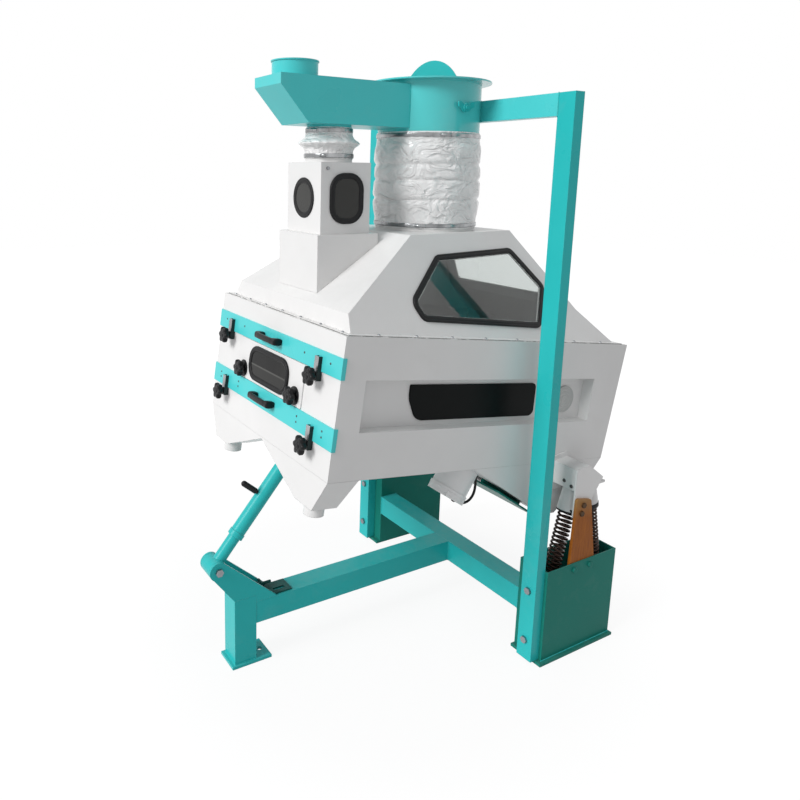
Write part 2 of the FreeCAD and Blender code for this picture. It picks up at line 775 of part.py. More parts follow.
for x in (clamp_x, -clamp_x):
    knob_spots.append((x, upper_bar_low - knob_drop))
    knob_spots.append((x, lower_bar_low - knob_drop))
for x in (door_knob_x, -door_knob_x):
    knob_spots.append((x, door_mid - door_knob_drop))
for x, z in knob_spots:
    tray = tray.cut(cylinder(knob_bolt_r + running_clearance, V(x, body_front - 1, z), V(x, body_front + 20, z)))
save("body_tray", tilted(tray))

hopper_front_view = [(-body_half, body_floor), (-front_hopper_outer, front_hopper_low),
                     (-front_hopper_inner, front_hopper_low), (0, notch_z), (front_hopper_inner, front_hopper_low),
                     (front_hopper_outer, front_hopper_low), (body_half, body_floor)]
hopper_side_view = [(body_front, body_floor), (body_front, front_hopper_low), (front_hopper_rear_low, front_hopper_low),
                    (front_hopper_rear_top, body_floor)]
front_hopper = front_prism(hopper_front_view, body_front, front_hopper_rear_top)
front_hopper = front_hopper.common(side_prism(hopper_side_view, -body_half, body_half))
inner_front_view = [(4 - body_half, body_floor + 1), (2 - front_hopper_outer, front_hopper_low + sheet),
                    (-front_hopper_inner - 2, front_hopper_low + sheet), (0, notch_z + sheet),
                    (front_hopper_inner + 2, front_hopper_low + sheet), (front_hopper_outer - 2, front_hopper_low + sheet),
                    (body_half - 4, body_floor + 1)]
inner_side_view = [(body_front + sheet, body_floor + 2), (body_front + sheet, front_hopper_low),
                   (front_hopper_rear_low - sheet, front_hopper_low), (front_hopper_rear_top - sheet, body_floor + 2)]
hopper_hollow = front_prism(inner_front_view, body_front, front_hopper_rear_top)
hopper_hollow = hopper_hollow.common(side_prism(inner_side_view, -body_half, body_half))
front_hopper = front_hopper.cut(hopper_hollow)
spigots = []
for x in (-spigot_x, spigot_x):
    low = V(x, spigot_y, front_hopper_low - spigot_length)
    front_hopper = front_hopper.cut(cylinder(spigot_r - sheet, low, low + V(0, 0, spigot_length + 2 * sheet)))
    pipe = cylinder(spigot_r, low, low + V(0, 0, spigot_length))
    spigots.append(pipe.cut(cylinder(spigot_r - sheet, low - V(0, 0, 1), low + V(0, 0, spigot_length + 1))))
front_hopper = fuse([front_hopper] + spigots)
save("front_hopper", tilted(front_hopper))

rear_profile = [(hopper_start, body_floor), (outlet_front, outlet_z), (outlet_rear, outlet_z),
                (rear_hopper_rear, rear_hopper_rear_z), (body_rear_low, body_floor)]
rear_envelope = side_prism(rear_profile, -body_half, body_half)
rear_inner = [(hopper_start + 2 * sheet, body_floor + 1), (outlet_front + sheet, outlet_z - 1),
              (outlet_rear - sheet, outlet_z - 1), (rear_hopper_rear - sheet, rear_hopper_rear_z + 1),
              (body_rear_low - sheet, body_floor + 1)]
rear_hopper = rear_envelope.cut(side_prism(rear_inner, sheet - body_half, body_half - sheet))
save("rear_hopper", tilted(rear_hopper))

slope_run = V(0, outlet_front - hopper_start, outlet_z - body_floor)
slope_down = V(0, slope_run.z, -slope_run.y).normalize()
slope_top = V(0, hopper_start, body_floor)
guide_a = slope_top + slope_run * guide_start
guide_b = slope_top + slope_run * guide_end


def guide_slab(near, far, x0, x1):
    corners = [guide_a + slope_down * near, guide_b + slope_down * near, guide_b + slope_down * far,
               guide_a + slope_down * far]
    return side_prism([(c.y, c.z) for c in corners], x0, x1)


guide_half = body_half - guide_inset
guide_web = guide_half - guide_web_inset
guide = fuse([guide_slab(guide_gap, guide_gap + guide_plate, -guide_half, guide_half),
              guide_slab(0, guide_gap, guide_web - guide_plate, guide_web),
              guide_slab(0, guide_gap, -guide_web, guide_plate - guide_web)])
save("outlet_guide", tilted(guide))

# Hood with its ring for the big sleeve
top_point = hood_top_rear[1]
hood_profile = [(hood_front, body_top), (hood_front + sheet, body_top + hood_band), hood_top_front, hood_top_rear,
                hood_break, (hood_rear, body_top)]


def hood_half_at(z):
    return hood_half - hood_slope * (z - body_top)


hood_section = [(-hood_half, body_top), (-hood_half_at(top_point), top_point), (hood_half_at(top_point), top_point),
                (hood_half, body_top)]
hood_envelope = side_prism(hood_profile, -hood_half, hood_half)
hood_envelope = hood_envelope.common(front_prism(hood_section, hood_front - 1, hood_rear + 1))
inner_hood_profile = [(hood_front + sheet, body_top - 1), (hood_front + 2 * sheet, body_top + hood_band - 1),
                      (hood_top_front[0] + 1, hood_top_front[1] - sheet), (hood_top_rear[0] - 1, top_point - sheet),
                      (hood_break[0] - sheet, hood_break[1] - sheet), (hood_rear - sheet, body_top - 1)]
side_inset = sheet * math.sqrt(1 + hood_slope ** 2)
inner_hood_section = [(side_inset - hood_half - hood_slope, body_top - 1), (side_inset - hood_half_at(top_point), top_point),
                      (hood_half_at(top_point) - side_inset, top_point), (hood_half - side_inset + hood_slope, body_top - 1)]
hood_hollow = side_prism(inner_hood_profile, -hood_half, hood_half)
hood_hollow = hood_hollow.common(front_prism(inner_hood_section, hood_front - 1, hood_rear + 1))
hood = hood_envelope.cut(hood_hollow)
flange_plate = box(-hood_half - hood_flange, hood_half + hood_flange, hood_front - hood_flange,
                   hood_rear + hood_flange, body_top, body_top + sheet)
flange_plate = flange_plate.cut(box(sheet - hood_half, hood_half - sheet, hood_front + sheet, hood_rear - sheet,
                                    body_top - 1, body_top + sheet + 1))
hood = fuse([hood, flange_plate])


# A window is a rubber ring on the sheet, with a pane inside the ring
def window_pieces(points, out, corner_r, seal, height):
    outline = Part.makePolygon(points + [points[0]])
    whole = round_edges(Part.Face(outline).extrude(out * height), out, corner_r)
    base = [f for f in whole.Faces if abs(f.normalAt(0, 0).dot(out) + 1) < 1e-4][0].OuterWire
    inside = base.makeOffset2D(-seal)
    pane = Part.Face(inside).extrude(out * pane_thickness)
    rubber = whole.cut(Part.Face(inside).extrude(out * height))
    hole_edge = base.makeOffset2D(-seal - 8)
    hole = Part.Face(hole_edge).extrude(out * 20)
    hole.translate(out * -10)
    return rubber, pane, hole


slope_out = V(1, 0, hood_slope).normalize()
trap_points = [V(hood_half_at(z), y, z) for y, z in trap_window]
trap_seal, trap_pane, trap_hole = window_pieces(trap_points, slope_out, trap_corner_r, seal_width, seal_height)


def on_rear_slope(x, z):
    share = (hood_top_rear[1] - z) / (hood_top_rear[1] - hood_break[1])
    return V(x, hood_top_rear[0] + share * (hood_break[0] - hood_top_rear[0]), z)


rear_out = V(0, hood_top_rear[1] - hood_break[1], hood_break[0] - hood_top_rear[0]).normalize()
rear_low_half = hood_half_at(rear_window_low) - rear_window_inset
rear_high_half = hood_half_at(rear_window_high) - rear_window_inset
rear_points = [on_rear_slope(-rear_low_half, rear_window_low), on_rear_slope(rear_low_half, rear_window_low),
               on_rear_slope(rear_high_half, rear_window_high), on_rear_slope(-rear_high_half, rear_window_high)]
rear_seal, rear_pane, rear_hole = window_pieces(rear_points, rear_out, trap_corner_r, seal_width, seal_height)
hood = cut(hood, pair(trap_hole) + [rear_hole])
hood = tilted(hood)
hood_top_z = inlet_low
ring_foot = hood_top_z - 6
hood_ring = ring(duct_r - duct_wall, duct_r, duct_y, ring_foot, hood_top_z + ring_height)
hood = hood.cut(cylinder(duct_r - duct_wall, V(0, duct_y, ring_foot - 6), V(0, duct_y, hood_top_z + 20)))
hood = fuse([hood, hood_ring])
throat_void = box(sheet - throat_half, throat_half - sheet, throat_front + sheet, throat_rear - sheet,
                  throat_low - throat_reach, inlet_low)
hood = hood.cut(throat_void)
save("hood", hood)

throat = box(-throat_half, throat_half, throat_front, throat_rear, throat_low, inlet_low)
throat = throat.cut(box(sheet - throat_half, throat_half - sheet, throat_front + sheet, throat_rear - sheet,
                        throat_low - throat_reach, inlet_low - sheet))
throat = throat.cut(box(sheet - inlet_half, inlet_half - sheet, inlet_front + sheet, inlet_rear - sheet,
                        throat_low - throat_reach, inlet_low + 1))
throat = throat.cut(tilted(hood_envelope))
save("inlet_throat", throat)

inlet = box(-inlet_half, inlet_half, inlet_front, inlet_rear, inlet_low, inlet_high)
inlet = inlet.cut(box(sheet - inlet_half, inlet_half - sheet, inlet_front + sheet, inlet_rear - sheet, inlet_low - 1,
                      inlet_high - sheet))
inlet = inlet.cut(cylinder(inlet_pipe_r - sheet, V(0, feed_y, inlet_high - 10), V(0, feed_y, inlet_high + 10)))
inlet = fuse([inlet, ring(inlet_pipe_r - sheet, inlet_pipe_r, feed_y, inlet_high, inlet_high + inlet_pipe_height)])
half_w = side_window_width / 2
half_h = side_window_height / 2
window_corners = ((-half_w, -half_h), (half_w, -half_h), (half_w, half_h), (-half_w, half_h))
side_points = [V(inlet_half, side_window_y + w, round_window_z + h) for w, h in window_corners]
side_seal, side_pane, side_hole = window_pieces(side_points, V(1, 0, 0), side_window_r, seal_width, seal_height)
round_low = V(0, inlet_front, round_window_z)
round_seal = cylinder(round_window_r, round_low - V(0, seal_height / 2, 0), round_low)
round_hole_r = round_window_r - seal_width
round_seal = round_seal.cut(cylinder(round_hole_r, round_low - V(0, seal_height, 0), round_low + V(0, 1, 0)))
round_pane = cylinder(round_hole_r, round_low - V(0, pane_thickness / 2, 0), round_low)
inlet = cut(inlet, [side_hole, cylinder(round_hole_r - 8, round_low - V(0, 5, 0), round_low + V(0, 20, 0)),
                    cylinder(flap_rod_r + running_clearance, V(-inlet_half - 1, flap_y, flap_z),
                             V(inlet_half + 1, flap_y, flap_z))])
save("inlet_box", inlet)
hood_seals = [tilted(s) for s in pair(trap_seal) + [rear_seal]]
hood_panes = [tilted(p) for p in pair(trap_pane) + [rear_pane]]
save("window_seals", hood_seals + [side_seal, round_seal])
save("window_panes", hood_panes + [side_pane, round_pane])

flap_turn = math.radians(flap_angle)
flap_along = V(0, math.cos(flap_turn), -math.sin(flap_turn))
flap_normal = V(0, math.sin(flap_turn), math.cos(flap_turn))
flap_hinge = V(0, flap_y, flap_z)
flap_half = inlet_half - sheet - 3
flap_corners = [flap_hinge - flap_normal * 1.5, flap_hinge + flap_along * flap_length - flap_normal * 1.5,
                flap_hinge + flap_along * flap_length + flap_normal * 1.5, flap_hinge + flap_normal * 1.5]
flap = side_prism([(c.y, c.z) for c in flap_corners], -flap_half, flap_half)
flap = fuse([flap, cylinder(flap_rod_r, V(-inlet_half - 6, flap_y, flap_z), V(inlet_half + 6, flap_y, flap_z))])
save("feed_flap", flap)

# Side windows and port covers on the recess floors
def rounded_panel(corners, x, thickness):
    edges = []
    bends = []
    for i, (y, z, radius) in enumerate(corners):
        here = V(x, y, z)
        to_last = (V(x, *corners[i - 1][:2]) - here).normalize()
        to_next = (V(x, *corners[(i + 1) % len(corners)][:2]) - here).normalize()
        half = to_last.getAngle(to_next) / 2
        inward = (to_last + to_next).normalize()
        reach = radius / math.tan(half)
        crown = here + inward * (radius / math.sin(half) - radius)
        bends.append((here + to_last * reach, crown, here + to_next * reach))
    for i, (first, crown, last) in enumerate(bends):
        edges.append(Part.LineSegment(bends[i - 1][2], first).toShape())
        edges.append(Part.Arc(first, crown, last).toShape())
    return Part.Face(Part.Wire(edges)).extrude(V(thickness, 0, 0))


side_panel = rounded_panel(side_panel_corners, recess_floor, side_panel_thickness)
save("side_windows", [tilted(s) for s in pair(side_panel)])
port = cylinder(port_r, V(recess_floor, port_y, port_z), V(recess_floor + 5, port_y, port_z))
port = fuse([port, cylinder(9, V(recess_floor, port_y, port_z), V(recess_floor + 10, port_y, port_z))])
save("port_discs", [tilted(s) for s in pair(port)])

# Screws along the hood's flange
screws = []
flange_mid = hood_flange / 2 + 1
screw_low = body_top + sheet
screw_high = screw_low + flange_screw_height
for i in range(7):
    x = (i - 3) * end_screw_pitch
    for y in (hood_front - flange_mid, hood_rear + flange_mid):
        screws.append(cylinder(flange_screw_r, V(x, y, screw_low), V(x, y, screw_high)))
for i in range(8):
    y = hood_front + side_screw_first + i * side_screw_pitch
    for x in (hood_half + flange_mid, -hood_half - flange_mid):
        screws.append(cylinder(flange_screw_r, V(x, y, screw_low), V(x, y, screw_high)))
save("body_screws", [tilted(s) for s in screws])

# Brackets that stand out from the body sides over the spring boxes
outer_x = board_x0 - bracket_wall
outer_plate = side_prism(bracket_plate_outline, outer_x, board_x0)
shelf = box(body_half, outer_x, shelf_front, shelf_rear, shelf_z, shelf_z + shelf_thickness)
inner_plate = side_prism(bracket_skin_outline, body_half, body_half + bracket_skin)
top_web = side_prism(bracket_web_outline, body_half, outer_x)
spring_bracket = fuse([outer_plate, shelf, inner_plate, top_web])
bracket_bolts = []
for y, z in board_high_bolts:
    start = V(board_x1, y, z)
    end = V(outer_x - bracket_nut, y, z)
    bracket_bolts.append(bolt_with_head(board_bolt_r, board_bolt_head, 7, bracket_nut, start, end))
    spring_bracket = spring_bracket.cut(cylinder(board_bolt_r + bolt_clearance, start, end))
bracket_parts = pair(spring_bracket)
for bolt in bracket_bolts:
    bracket_parts += pair(bolt)
save("spring_brackets", bracket_parts)

cups = []
above_shelf = box(body_half, box_outer, box_front, box_rear, shelf_z, shelf_z + cup_length)
for foot, up in spring_lines:
    reach = (shelf_z - spring_floor) / up.z
    cup_low = foot + up * (reach - cup_length)
    cup = Part.makeCone(cup_bottom_r, cup_top_r, cup_length + cup_overlap, cup_low, up)
    cup = cup.cut(cylinder(cup_bore_r, cup_low - up, cup_low + up * cup_bore_depth))
    cups += pair(cup.cut(above_shelf))
save("spring_cups", cups)

# Lugs and pin under the body floor for the strut's eye
lug_turn = math.radians(deck_tilt)
rise = strut_top.z - tilt_z
lug_y = strut_top.y * math.cos(lug_turn) - rise * math.sin(lug_turn)
lug_z = strut_top.y * math.sin(lug_turn) + rise * math.cos(lug_turn) + tilt_z
lug_inner = eye_half_width + lug_gap
lug_outer = lug_inner + lug_plate
lug_top = body_floor - lug_base_thickness
lug = side_prism([(lug_y - lug_r, lug_z), (lug_y - lug_front, lug_top), (lug_y + lug_rear, lug_top),
                  (lug_y + lug_r, lug_z)], lug_inner, lug_outer)
lug = fuse([lug, cylinder(lug_r, V(lug_inner, lug_y, lug_z), V(lug_outer, lug_y, lug_z))])
lug_base = box(-lug_base_half, lug_base_half, lug_y - lug_front, lug_y + lug_base_rear, lug_top, body_floor)
pin_end = lug_outer + lug_gap + pin_head
lug_pin = cylinder(lug_pin_r, V(-pin_end, lug_y, lug_z), V(pin_end, lug_y, lug_z))
lugs = fuse([lug_base, lug_pin] + pair(lug))
lugs = lugs.cut(front_prism(hopper_front_view, body_front, front_hopper_rear_top).common(
    side_prism(hopper_side_view, -body_half, body_half)))
save("strut_lugs", tilted(lugs))


# Drawers with bar, handle, clamps and knobs
def star_knob(x, y, z, depth, base_r):
    core = cylinder(knob_core_r, V(x, y - knob_thickness, z), V(x, y, z))
    lobes = []
    for i in range(6):
        turn = math.radians(60 * i + 30)
        cx = x + knob_ring_r * math.cos(turn)
        cz = z + knob_ring_r * math.sin(turn)
        lobes.append(cylinder(knob_lobe_r, V(cx, y - knob_thickness, cz), V(cx, y, cz)))
    neck = cylinder(knob_neck_r, V(x, y, z), V(x, y + knob_neck, z))
    base = cylinder(base_r, V(x, y + knob_neck - knob_base, z), V(x, y + knob_neck, z))
    bolt = cylinder(knob_bolt_r, V(x, y + knob_neck - 1, z), V(x, y + knob_neck + depth, z))
    return fuse([core] + lobes + [neck, base, bolt])


bar_front = body_front - bar_thickness
clamp_face = bar_front - clamp_depth
drawers = (("upper", upper_bar_low, upper_bar_high, upper_deck_low), ("lower", lower_bar_low, lower_bar_high, lower_deck_low))
for name, low, high, deck_low in drawers:
    reach = body_half + bar_side_gap + bar_thickness
    bar = box(-reach, reach, bar_front, body_front, low, high)
    wing_plate = box(body_half + bar_side_gap, reach, body_front, body_front + bar_return, low, high)
    bar = fuse([bar] + pair(wing_plate))
    knob_z = low - knob_drop
    clamp_low = low + clamp_overlap - clamp_length
    clamps = []
    for x in (clamp_x, -clamp_x):
        plate = box(x - clamp_width / 2, x + clamp_width / 2, clamp_face, clamp_face + clamp_plate, clamp_low,
                    low + clamp_overlap)
        legs = []
        for side in (-1, 1):
            edge = x + side * (clamp_width - clamp_plate) / 2
            legs.append(box(edge - clamp_plate / 2, edge + clamp_plate / 2, clamp_face, bar_front, clamp_low,
                            low + clamp_overlap))
            legs.append(box(edge - clamp_plate / 2, edge + clamp_plate / 2, bar_front - 1, body_front - 0.3,
                            clamp_low, low - 1))
        clamp = fuse([plate] + legs)
        hole = cylinder(knob_bolt_r + running_clearance, V(x, clamp_face - 1, knob_z), V(x, body_front, knob_z))
        clamps.append(clamp.cut(hole))
        side_name = "right" if x > 0 else "left"
        save("knob_" + name + "_" + side_name,
             tilted(star_knob(x, clamp_face - bolt_clearance - knob_neck, knob_z, clamp_depth + bar_thickness + 12,
                              knob_neck_r)))
    save(name + "_bar", tilted(bar))
    save(name + "_clamps", [tilted(c) for c in clamps])
    handle_z = (low + high) / 2 + 3
    grip_y = bar_front - handle_depth
    blocks = []
    for side in (-1, 1):
        x0 = side * (handle_half - handle_block / 2) - handle_block / 2
        block = box(x0, x0 + handle_block, grip_y, bar_front, handle_z - handle_height / 2, handle_z + handle_height / 2)
        blocks.append(round_edges(block, V(0, 1, 0), 5))
    span = handle_half - handle_block / 2
    grip_bar = box(-span, span, grip_y, grip_y + handle_grip, handle_z - handle_height / 2 + 3,
                   handle_z + handle_height / 2 - 3)
    save(name + "_handle", tilted(fuse([round_edges(grip_bar, V(1, 0, 0), 4)] + blocks)))
    deck = box(-deck_half, deck_half, body_front, body_front + deck_length, deck_low, deck_low + deck_height)
    deck_inner = deck_half - deck_rail
    bay = (deck_length - deck_rail) / 3
    for i in range(3):
        y0 = body_front + deck_rail + i * bay
        deck = deck.cut(box(-deck_inner, deck_inner, y0, y0 + bay - deck_rail, deck_low - 1,
                            deck_low + deck_height - deck_sheet))
    save(name + "_deck", tilted(deck))

# Inspection door between the drawers
door_low = lower_bar_high + door_gap
door_high = upper_bar_low - door_gap
door_face = body_front - door_thickness
door = box(-door_half, door_half, door_face, body_front, door_low, door_high)
door = round_edges(door, V(0, 1, 0), 6)
half_h = door_window_height / 2
corners = ((-door_window_half, -half_h), (-door_window_half, half_h), (door_window_half, half_h),
           (door_window_half, -half_h))
door_points = [V(x, door_face, door_mid + h) for x, h in corners]
door_seal, door_pane, door_hole = window_pieces(door_points, V(0, -1, 0), door_window_r, seal_width, seal_height)
door = cut(door, [door_hole])
door_knob_z = door_mid - door_knob_drop
for x in (door_knob_x, -door_knob_x):
    hole = cylinder(knob_bolt_r + running_clearance, V(x, door_face - 1, door_knob_z), V(x, body_front + 1, door_knob_z))
    door = door.cut(hole)
    side_name = "right" if x > 0 else "left"
    save("door_knob_" + side_name, tilted(star_knob(x, door_face - bolt_clearance - knob_neck, door_knob_z,
                                                    door_thickness + 12, knob_base_r)))
save("inspection_door", tilted(door))
save("door_window", [tilted(door_seal), tilted(door_pane)])

# Vibration motors hang under the floor, one each side, and lean back
lean = math.radians(motor_lean)
motor_up = V(0, math.sin(lean), math.cos(lean))
motor_side = V(0, math.cos(lean), -math.sin(lean))
motor_foot = V(motor_x, motor_y, motor_z)
envelope = tilted(body_envelope.fuse(rear_envelope))
barrel = cylinder(motor_r, motor_foot, motor_foot + motor_up * motor_length)
end_cap = cylinder(motor_r - 6, motor_foot - motor_up * 8, motor_foot)
corner_a = motor_foot - motor_up * 8 - motor_side * (motor_cover / 2) - V(motor_cover / 2, 0, 0)
cover = Part.makeBox(motor_cover, motor_cover, motor_cover_thickness)
cover_turn = FreeCAD.Rotation(V(1, 0, 0), motor_side, motor_up * -1, "XYZ")
cover.Placement = FreeCAD.Placement(corner_a, cover_turn)
seam_start = motor_foot + motor_up * motor_seam_at
seam = cylinder(motor_r + motor_seam_rise, seam_start, seam_start + motor_up * motor_seam_width)
motor = fuse([barrel, end_cap, cover, seam])
motor = motor.cut(envelope)
save("vibration_motors", pair(motor))


# Lead of the right motor, in straight runs joined by arcs
def lead_wire(points):
    edges = []
    last = points[0]
    for i in range(1, len(points) - 1):
        before = points[i] - points[i - 1]
        after = points[i + 1] - points[i]
        turn = before.getAngle(after)
        radius = 0.45 * min(before.Length, after.Length) / math.tan(turn / 2)
        print("lead radius", round(radius, 1))
        reach = radius * math.tan(turn / 2)
        a = points[i] - V(before).normalize() * reach
        b = points[i] + V(after).normalize() * reach
        centre_way = (V(after).normalize() - V(before).normalize()).normalize()
        centre = points[i] + centre_way * (radius / math.cos(turn / 2))
        middle = centre - centre_way * radius
        edges.append(Part.LineSegment(last, a).toShape())
        edges.append(Part.Arc(a, middle, b).toShape())
        last = b
    edges.append(Part.LineSegment(last, points[-1]).toShape())
    return Part.Wire(edges)


# It leaves the hopper floor behind the motor and ends square on the cover's rear side
cover_face = motor_foot - motor_up * (8 + motor_cover_thickness / 2) + motor_side * (motor_cover / 2)
lead_points = [V(motor_x, 243.5, 644), V(motor_x, 248, 616), V(motor_x, 248.5, 587), V(motor_x, 240.5, 559.5),
               V(motor_x, 221.5, 538), V(motor_x, 194, 528.5), cover_face + motor_side * 27, cover_face]
lead_path = lead_wire(lead_points)
first = (lead_points[1] - lead_points[0]).normalize()
lead_section = Part.Wire([Part.makeCircle(lead_r, lead_points[0], first)])
lead = lead_path.makePipeShell([lead_section], True, False)
print("lead volume check", round(lead.Volume / (math.pi * lead_r ** 2 * lead_path.Length), 4))
save("motor_lead", lead.cut(envelope))
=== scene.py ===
import bmesh
import bpy
import json
import math
from mathutils import Matrix, Vector, noise
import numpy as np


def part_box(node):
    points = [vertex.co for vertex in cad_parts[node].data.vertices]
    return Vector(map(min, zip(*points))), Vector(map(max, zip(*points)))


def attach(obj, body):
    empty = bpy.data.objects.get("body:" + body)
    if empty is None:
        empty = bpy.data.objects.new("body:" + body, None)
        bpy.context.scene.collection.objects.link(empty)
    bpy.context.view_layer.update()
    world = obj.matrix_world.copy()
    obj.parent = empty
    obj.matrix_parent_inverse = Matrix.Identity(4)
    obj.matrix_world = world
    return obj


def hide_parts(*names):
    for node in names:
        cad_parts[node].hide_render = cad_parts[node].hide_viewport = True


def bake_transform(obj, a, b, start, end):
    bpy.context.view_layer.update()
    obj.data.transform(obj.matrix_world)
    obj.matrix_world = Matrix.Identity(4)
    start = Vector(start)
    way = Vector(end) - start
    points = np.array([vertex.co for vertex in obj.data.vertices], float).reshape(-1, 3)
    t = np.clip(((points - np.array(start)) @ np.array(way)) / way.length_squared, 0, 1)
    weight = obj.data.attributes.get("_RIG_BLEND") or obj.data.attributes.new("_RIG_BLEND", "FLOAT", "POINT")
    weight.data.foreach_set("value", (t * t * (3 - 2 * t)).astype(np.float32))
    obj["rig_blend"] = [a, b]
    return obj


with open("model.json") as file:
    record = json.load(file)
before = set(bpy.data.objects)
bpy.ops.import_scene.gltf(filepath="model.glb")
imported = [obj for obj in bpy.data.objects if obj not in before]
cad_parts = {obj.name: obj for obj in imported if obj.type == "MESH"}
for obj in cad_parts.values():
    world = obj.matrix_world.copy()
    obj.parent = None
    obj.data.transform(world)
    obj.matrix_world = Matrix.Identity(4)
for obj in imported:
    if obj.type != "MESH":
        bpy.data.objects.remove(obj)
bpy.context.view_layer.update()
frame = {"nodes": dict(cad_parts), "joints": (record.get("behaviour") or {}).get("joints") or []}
nodes = frame["nodes"]
scene = bpy.context.scene

# The screen body is tilted: its own level directions come from the line its drawers slide along
drawer_line = [j for j in frame["joints"] if j["name"] == "upper_drawer_slide"][0]["axis"]
body_back = -Vector(drawer_line).normalized()
body_up = Vector((1, 0, 0)).cross(body_back)
levelling_point = Vector((0, -0.10175, 0.8))


def level(x, y, z):
    """A place on the body, measured with its floor level, as a place in the tilted machine."""
    return levelling_point + Vector((x, 0, 0)) + body_back * y + body_up * (z - 0.8)


def middle(node):
    low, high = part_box(node)
    return (low + high) / 2


# Camera and light
photo_size = 800
focal_px = 714.7
centre_px = (304.4, 312.0)
view_turn, view_rise, view_roll = map(math.radians, (59.95, 10.92, 0.70))

camera_data = bpy.data.cameras.new("camera")
camera = bpy.data.objects.new("camera", camera_data)
scene.collection.objects.link(camera)
camera.location = (2.0154, -1.5415, 1.6493)
looking_back = Vector((math.sin(view_turn) * math.cos(view_rise), -math.cos(view_turn) * math.cos(view_rise),
                       math.sin(view_rise)))
upright = (-looking_back).to_track_quat("-Z", "Y").to_matrix()
camera.rotation_euler = (upright @ Matrix.Rotation(view_roll, 3, "Z")).to_euler()
camera_data.sensor_width = 36
camera_data.lens = 36 * focal_px / photo_size
camera_data.shift_x = (photo_size / 2 - centre_px[0]) / photo_size
camera_data.shift_y = (centre_px[1] - photo_size / 2) / photo_size
camera_data.clip_end = 60
scene.camera = camera

scene.view_settings.view_transform = "Standard"


def seen_directly(tree):
    """1 for rays from the camera, off gloss or through glass, which see the white studio."""
    path = tree.nodes.new("ShaderNodeLightPath")
    first = tree.nodes.new("ShaderNodeMath")
    first.operation = "MAXIMUM"
    tree.links.new(path.outputs["Is Camera Ray"], first.inputs[0])
    tree.links.new(path.outputs["Is Glossy Ray"], first.inputs[1])
    both = tree.nodes.new("ShaderNodeMath")
    both.operation = "MAXIMUM"
    tree.links.new(first.outputs[0], both.inputs[0])
    tree.links.new(path.outputs["Is Transmission Ray"], both.inputs[1])
    return both.outputs[0]


world = bpy.data.worlds.new("studio")
scene.world = world
world.use_nodes = True
sky = world.node_tree
sky.nodes.clear()
fill = sky.nodes.new("ShaderNodeBackground")
fill.inputs["Color"].default_value = (0.97, 0.98, 1.0, 1)
fill.inputs["Strength"].default_value = 0.44
backdrop = sky.nodes.new("ShaderNodeBackground")
backdrop.inputs["Color"].default_value = (1, 1, 1, 1)
backdrop.inputs["Strength"].default_value = 1.0
sky_mix = sky.nodes.new("ShaderNodeMixShader")
sky_out = sky.nodes.new("ShaderNodeOutputWorld")
sky.links.new(seen_directly(sky), sky_mix.inputs[0])
sky.links.new(fill.outputs[0], sky_mix.inputs[1])
sky.links.new(backdrop.outputs[0], sky_mix.inputs[2])
sky.links.new(sky_mix.outputs[0], sky_out.inputs[0])


def soft_sun(name, towards, strength, spread):
    data = bpy.data.lights.new(name, "SUN")
    data.energy = strength
    data.angle = math.radians(spread)
    lamp = bpy.data.objects.new(name, data)
    scene.collection.objects.link(lamp)
    lamp.location = Vector(towards).normalized() * 4
    lamp.rotation_euler = Vector(towards).to_track_quat("Z", "Y").to_euler()
    return lamp


soft_sun("front_lamp", (0.0, -0.84, 0.54), 2.35, 24)

floor_mesh = bpy.data.meshes.new("floor")
floor_half = 14
floor_mesh.from_pydata([(-floor_half, -floor_half, 0), (floor_half, -floor_half, 0), (floor_half, floor_half, 0),
                        (-floor_half, floor_half, 0)], [], [(0, 1, 2, 3)])
floor = bpy.data.objects.new("floor", floor_mesh)
scene.collection.objects.link(floor)
floor_paint = bpy.data.materials.new("studio_floor")
floor_paint.use_nodes = True
tree = floor_paint.node_tree
tree.nodes.clear()
matt = tree.nodes.new("ShaderNodeBsdfDiffuse")
matt.inputs["Color"].default_value = (0.66, 0.66, 0.66, 1)
glow = tree.nodes.new("ShaderNodeEmission")
glow.inputs["Strength"].default_value = 1.07
# the shadow shows only round the machine's feet, and the floor fades into the white backdrop further out
floor_place = tree.nodes.new("ShaderNodeTexCoord")
from_middle = tree.nodes.new("ShaderNodeVectorMath")
from_middle.operation = "LENGTH"
tree.links.new(floor_place.outputs["Object"], from_middle.inputs[0])
fade = tree.nodes.new("ShaderNodeMapRange")
fade.inputs["From Min"].default_value = 0.7
fade.inputs["From Max"].default_value = 1.9
fade.inputs["To Min"].default_value = 0.84
fade.inputs["To Max"].default_value = 1.0
tree.links.new(from_middle.outputs["Value"], fade.inputs["Value"])
shadow_share = tree.nodes.new("ShaderNodeMath")
shadow_share.operation = "MULTIPLY"
tree.links.new(seen_directly(tree), shadow_share.inputs[0])
tree.links.new(fade.outputs[0], shadow_share.inputs[1])
mix = tree.nodes.new("ShaderNodeMixShader")
out = tree.nodes.new("ShaderNodeOutputMaterial")
tree.links.new(shadow_share.outputs[0], mix.inputs[0])
tree.links.new(matt.outputs[0], mix.inputs[1])
tree.links.new(glow.outputs[0], mix.inputs[2])
tree.links.new(mix.outputs[0], out.inputs[0])
floor_mesh.materials.append(floor_paint)


# Shader groups that several finishes share
def new_group(name, inputs, outputs):
    group = bpy.data.node_groups.new(name, "ShaderNodeTree")
    for label, kind, value in inputs:
        socket = group.interface.new_socket(label, in_out="INPUT", socket_type="NodeSocket" + kind)
        if value is not None:
            socket.default_value = value
    for label, kind in outputs:
        group.interface.new_socket(label, in_out="OUTPUT", socket_type="NodeSocket" + kind)
    start = group.nodes.new("NodeGroupInput")
    end = group.nodes.new("NodeGroupOutput")
    return group, start, end


def link(tree, a, b):
    tree.links.new(a, b)


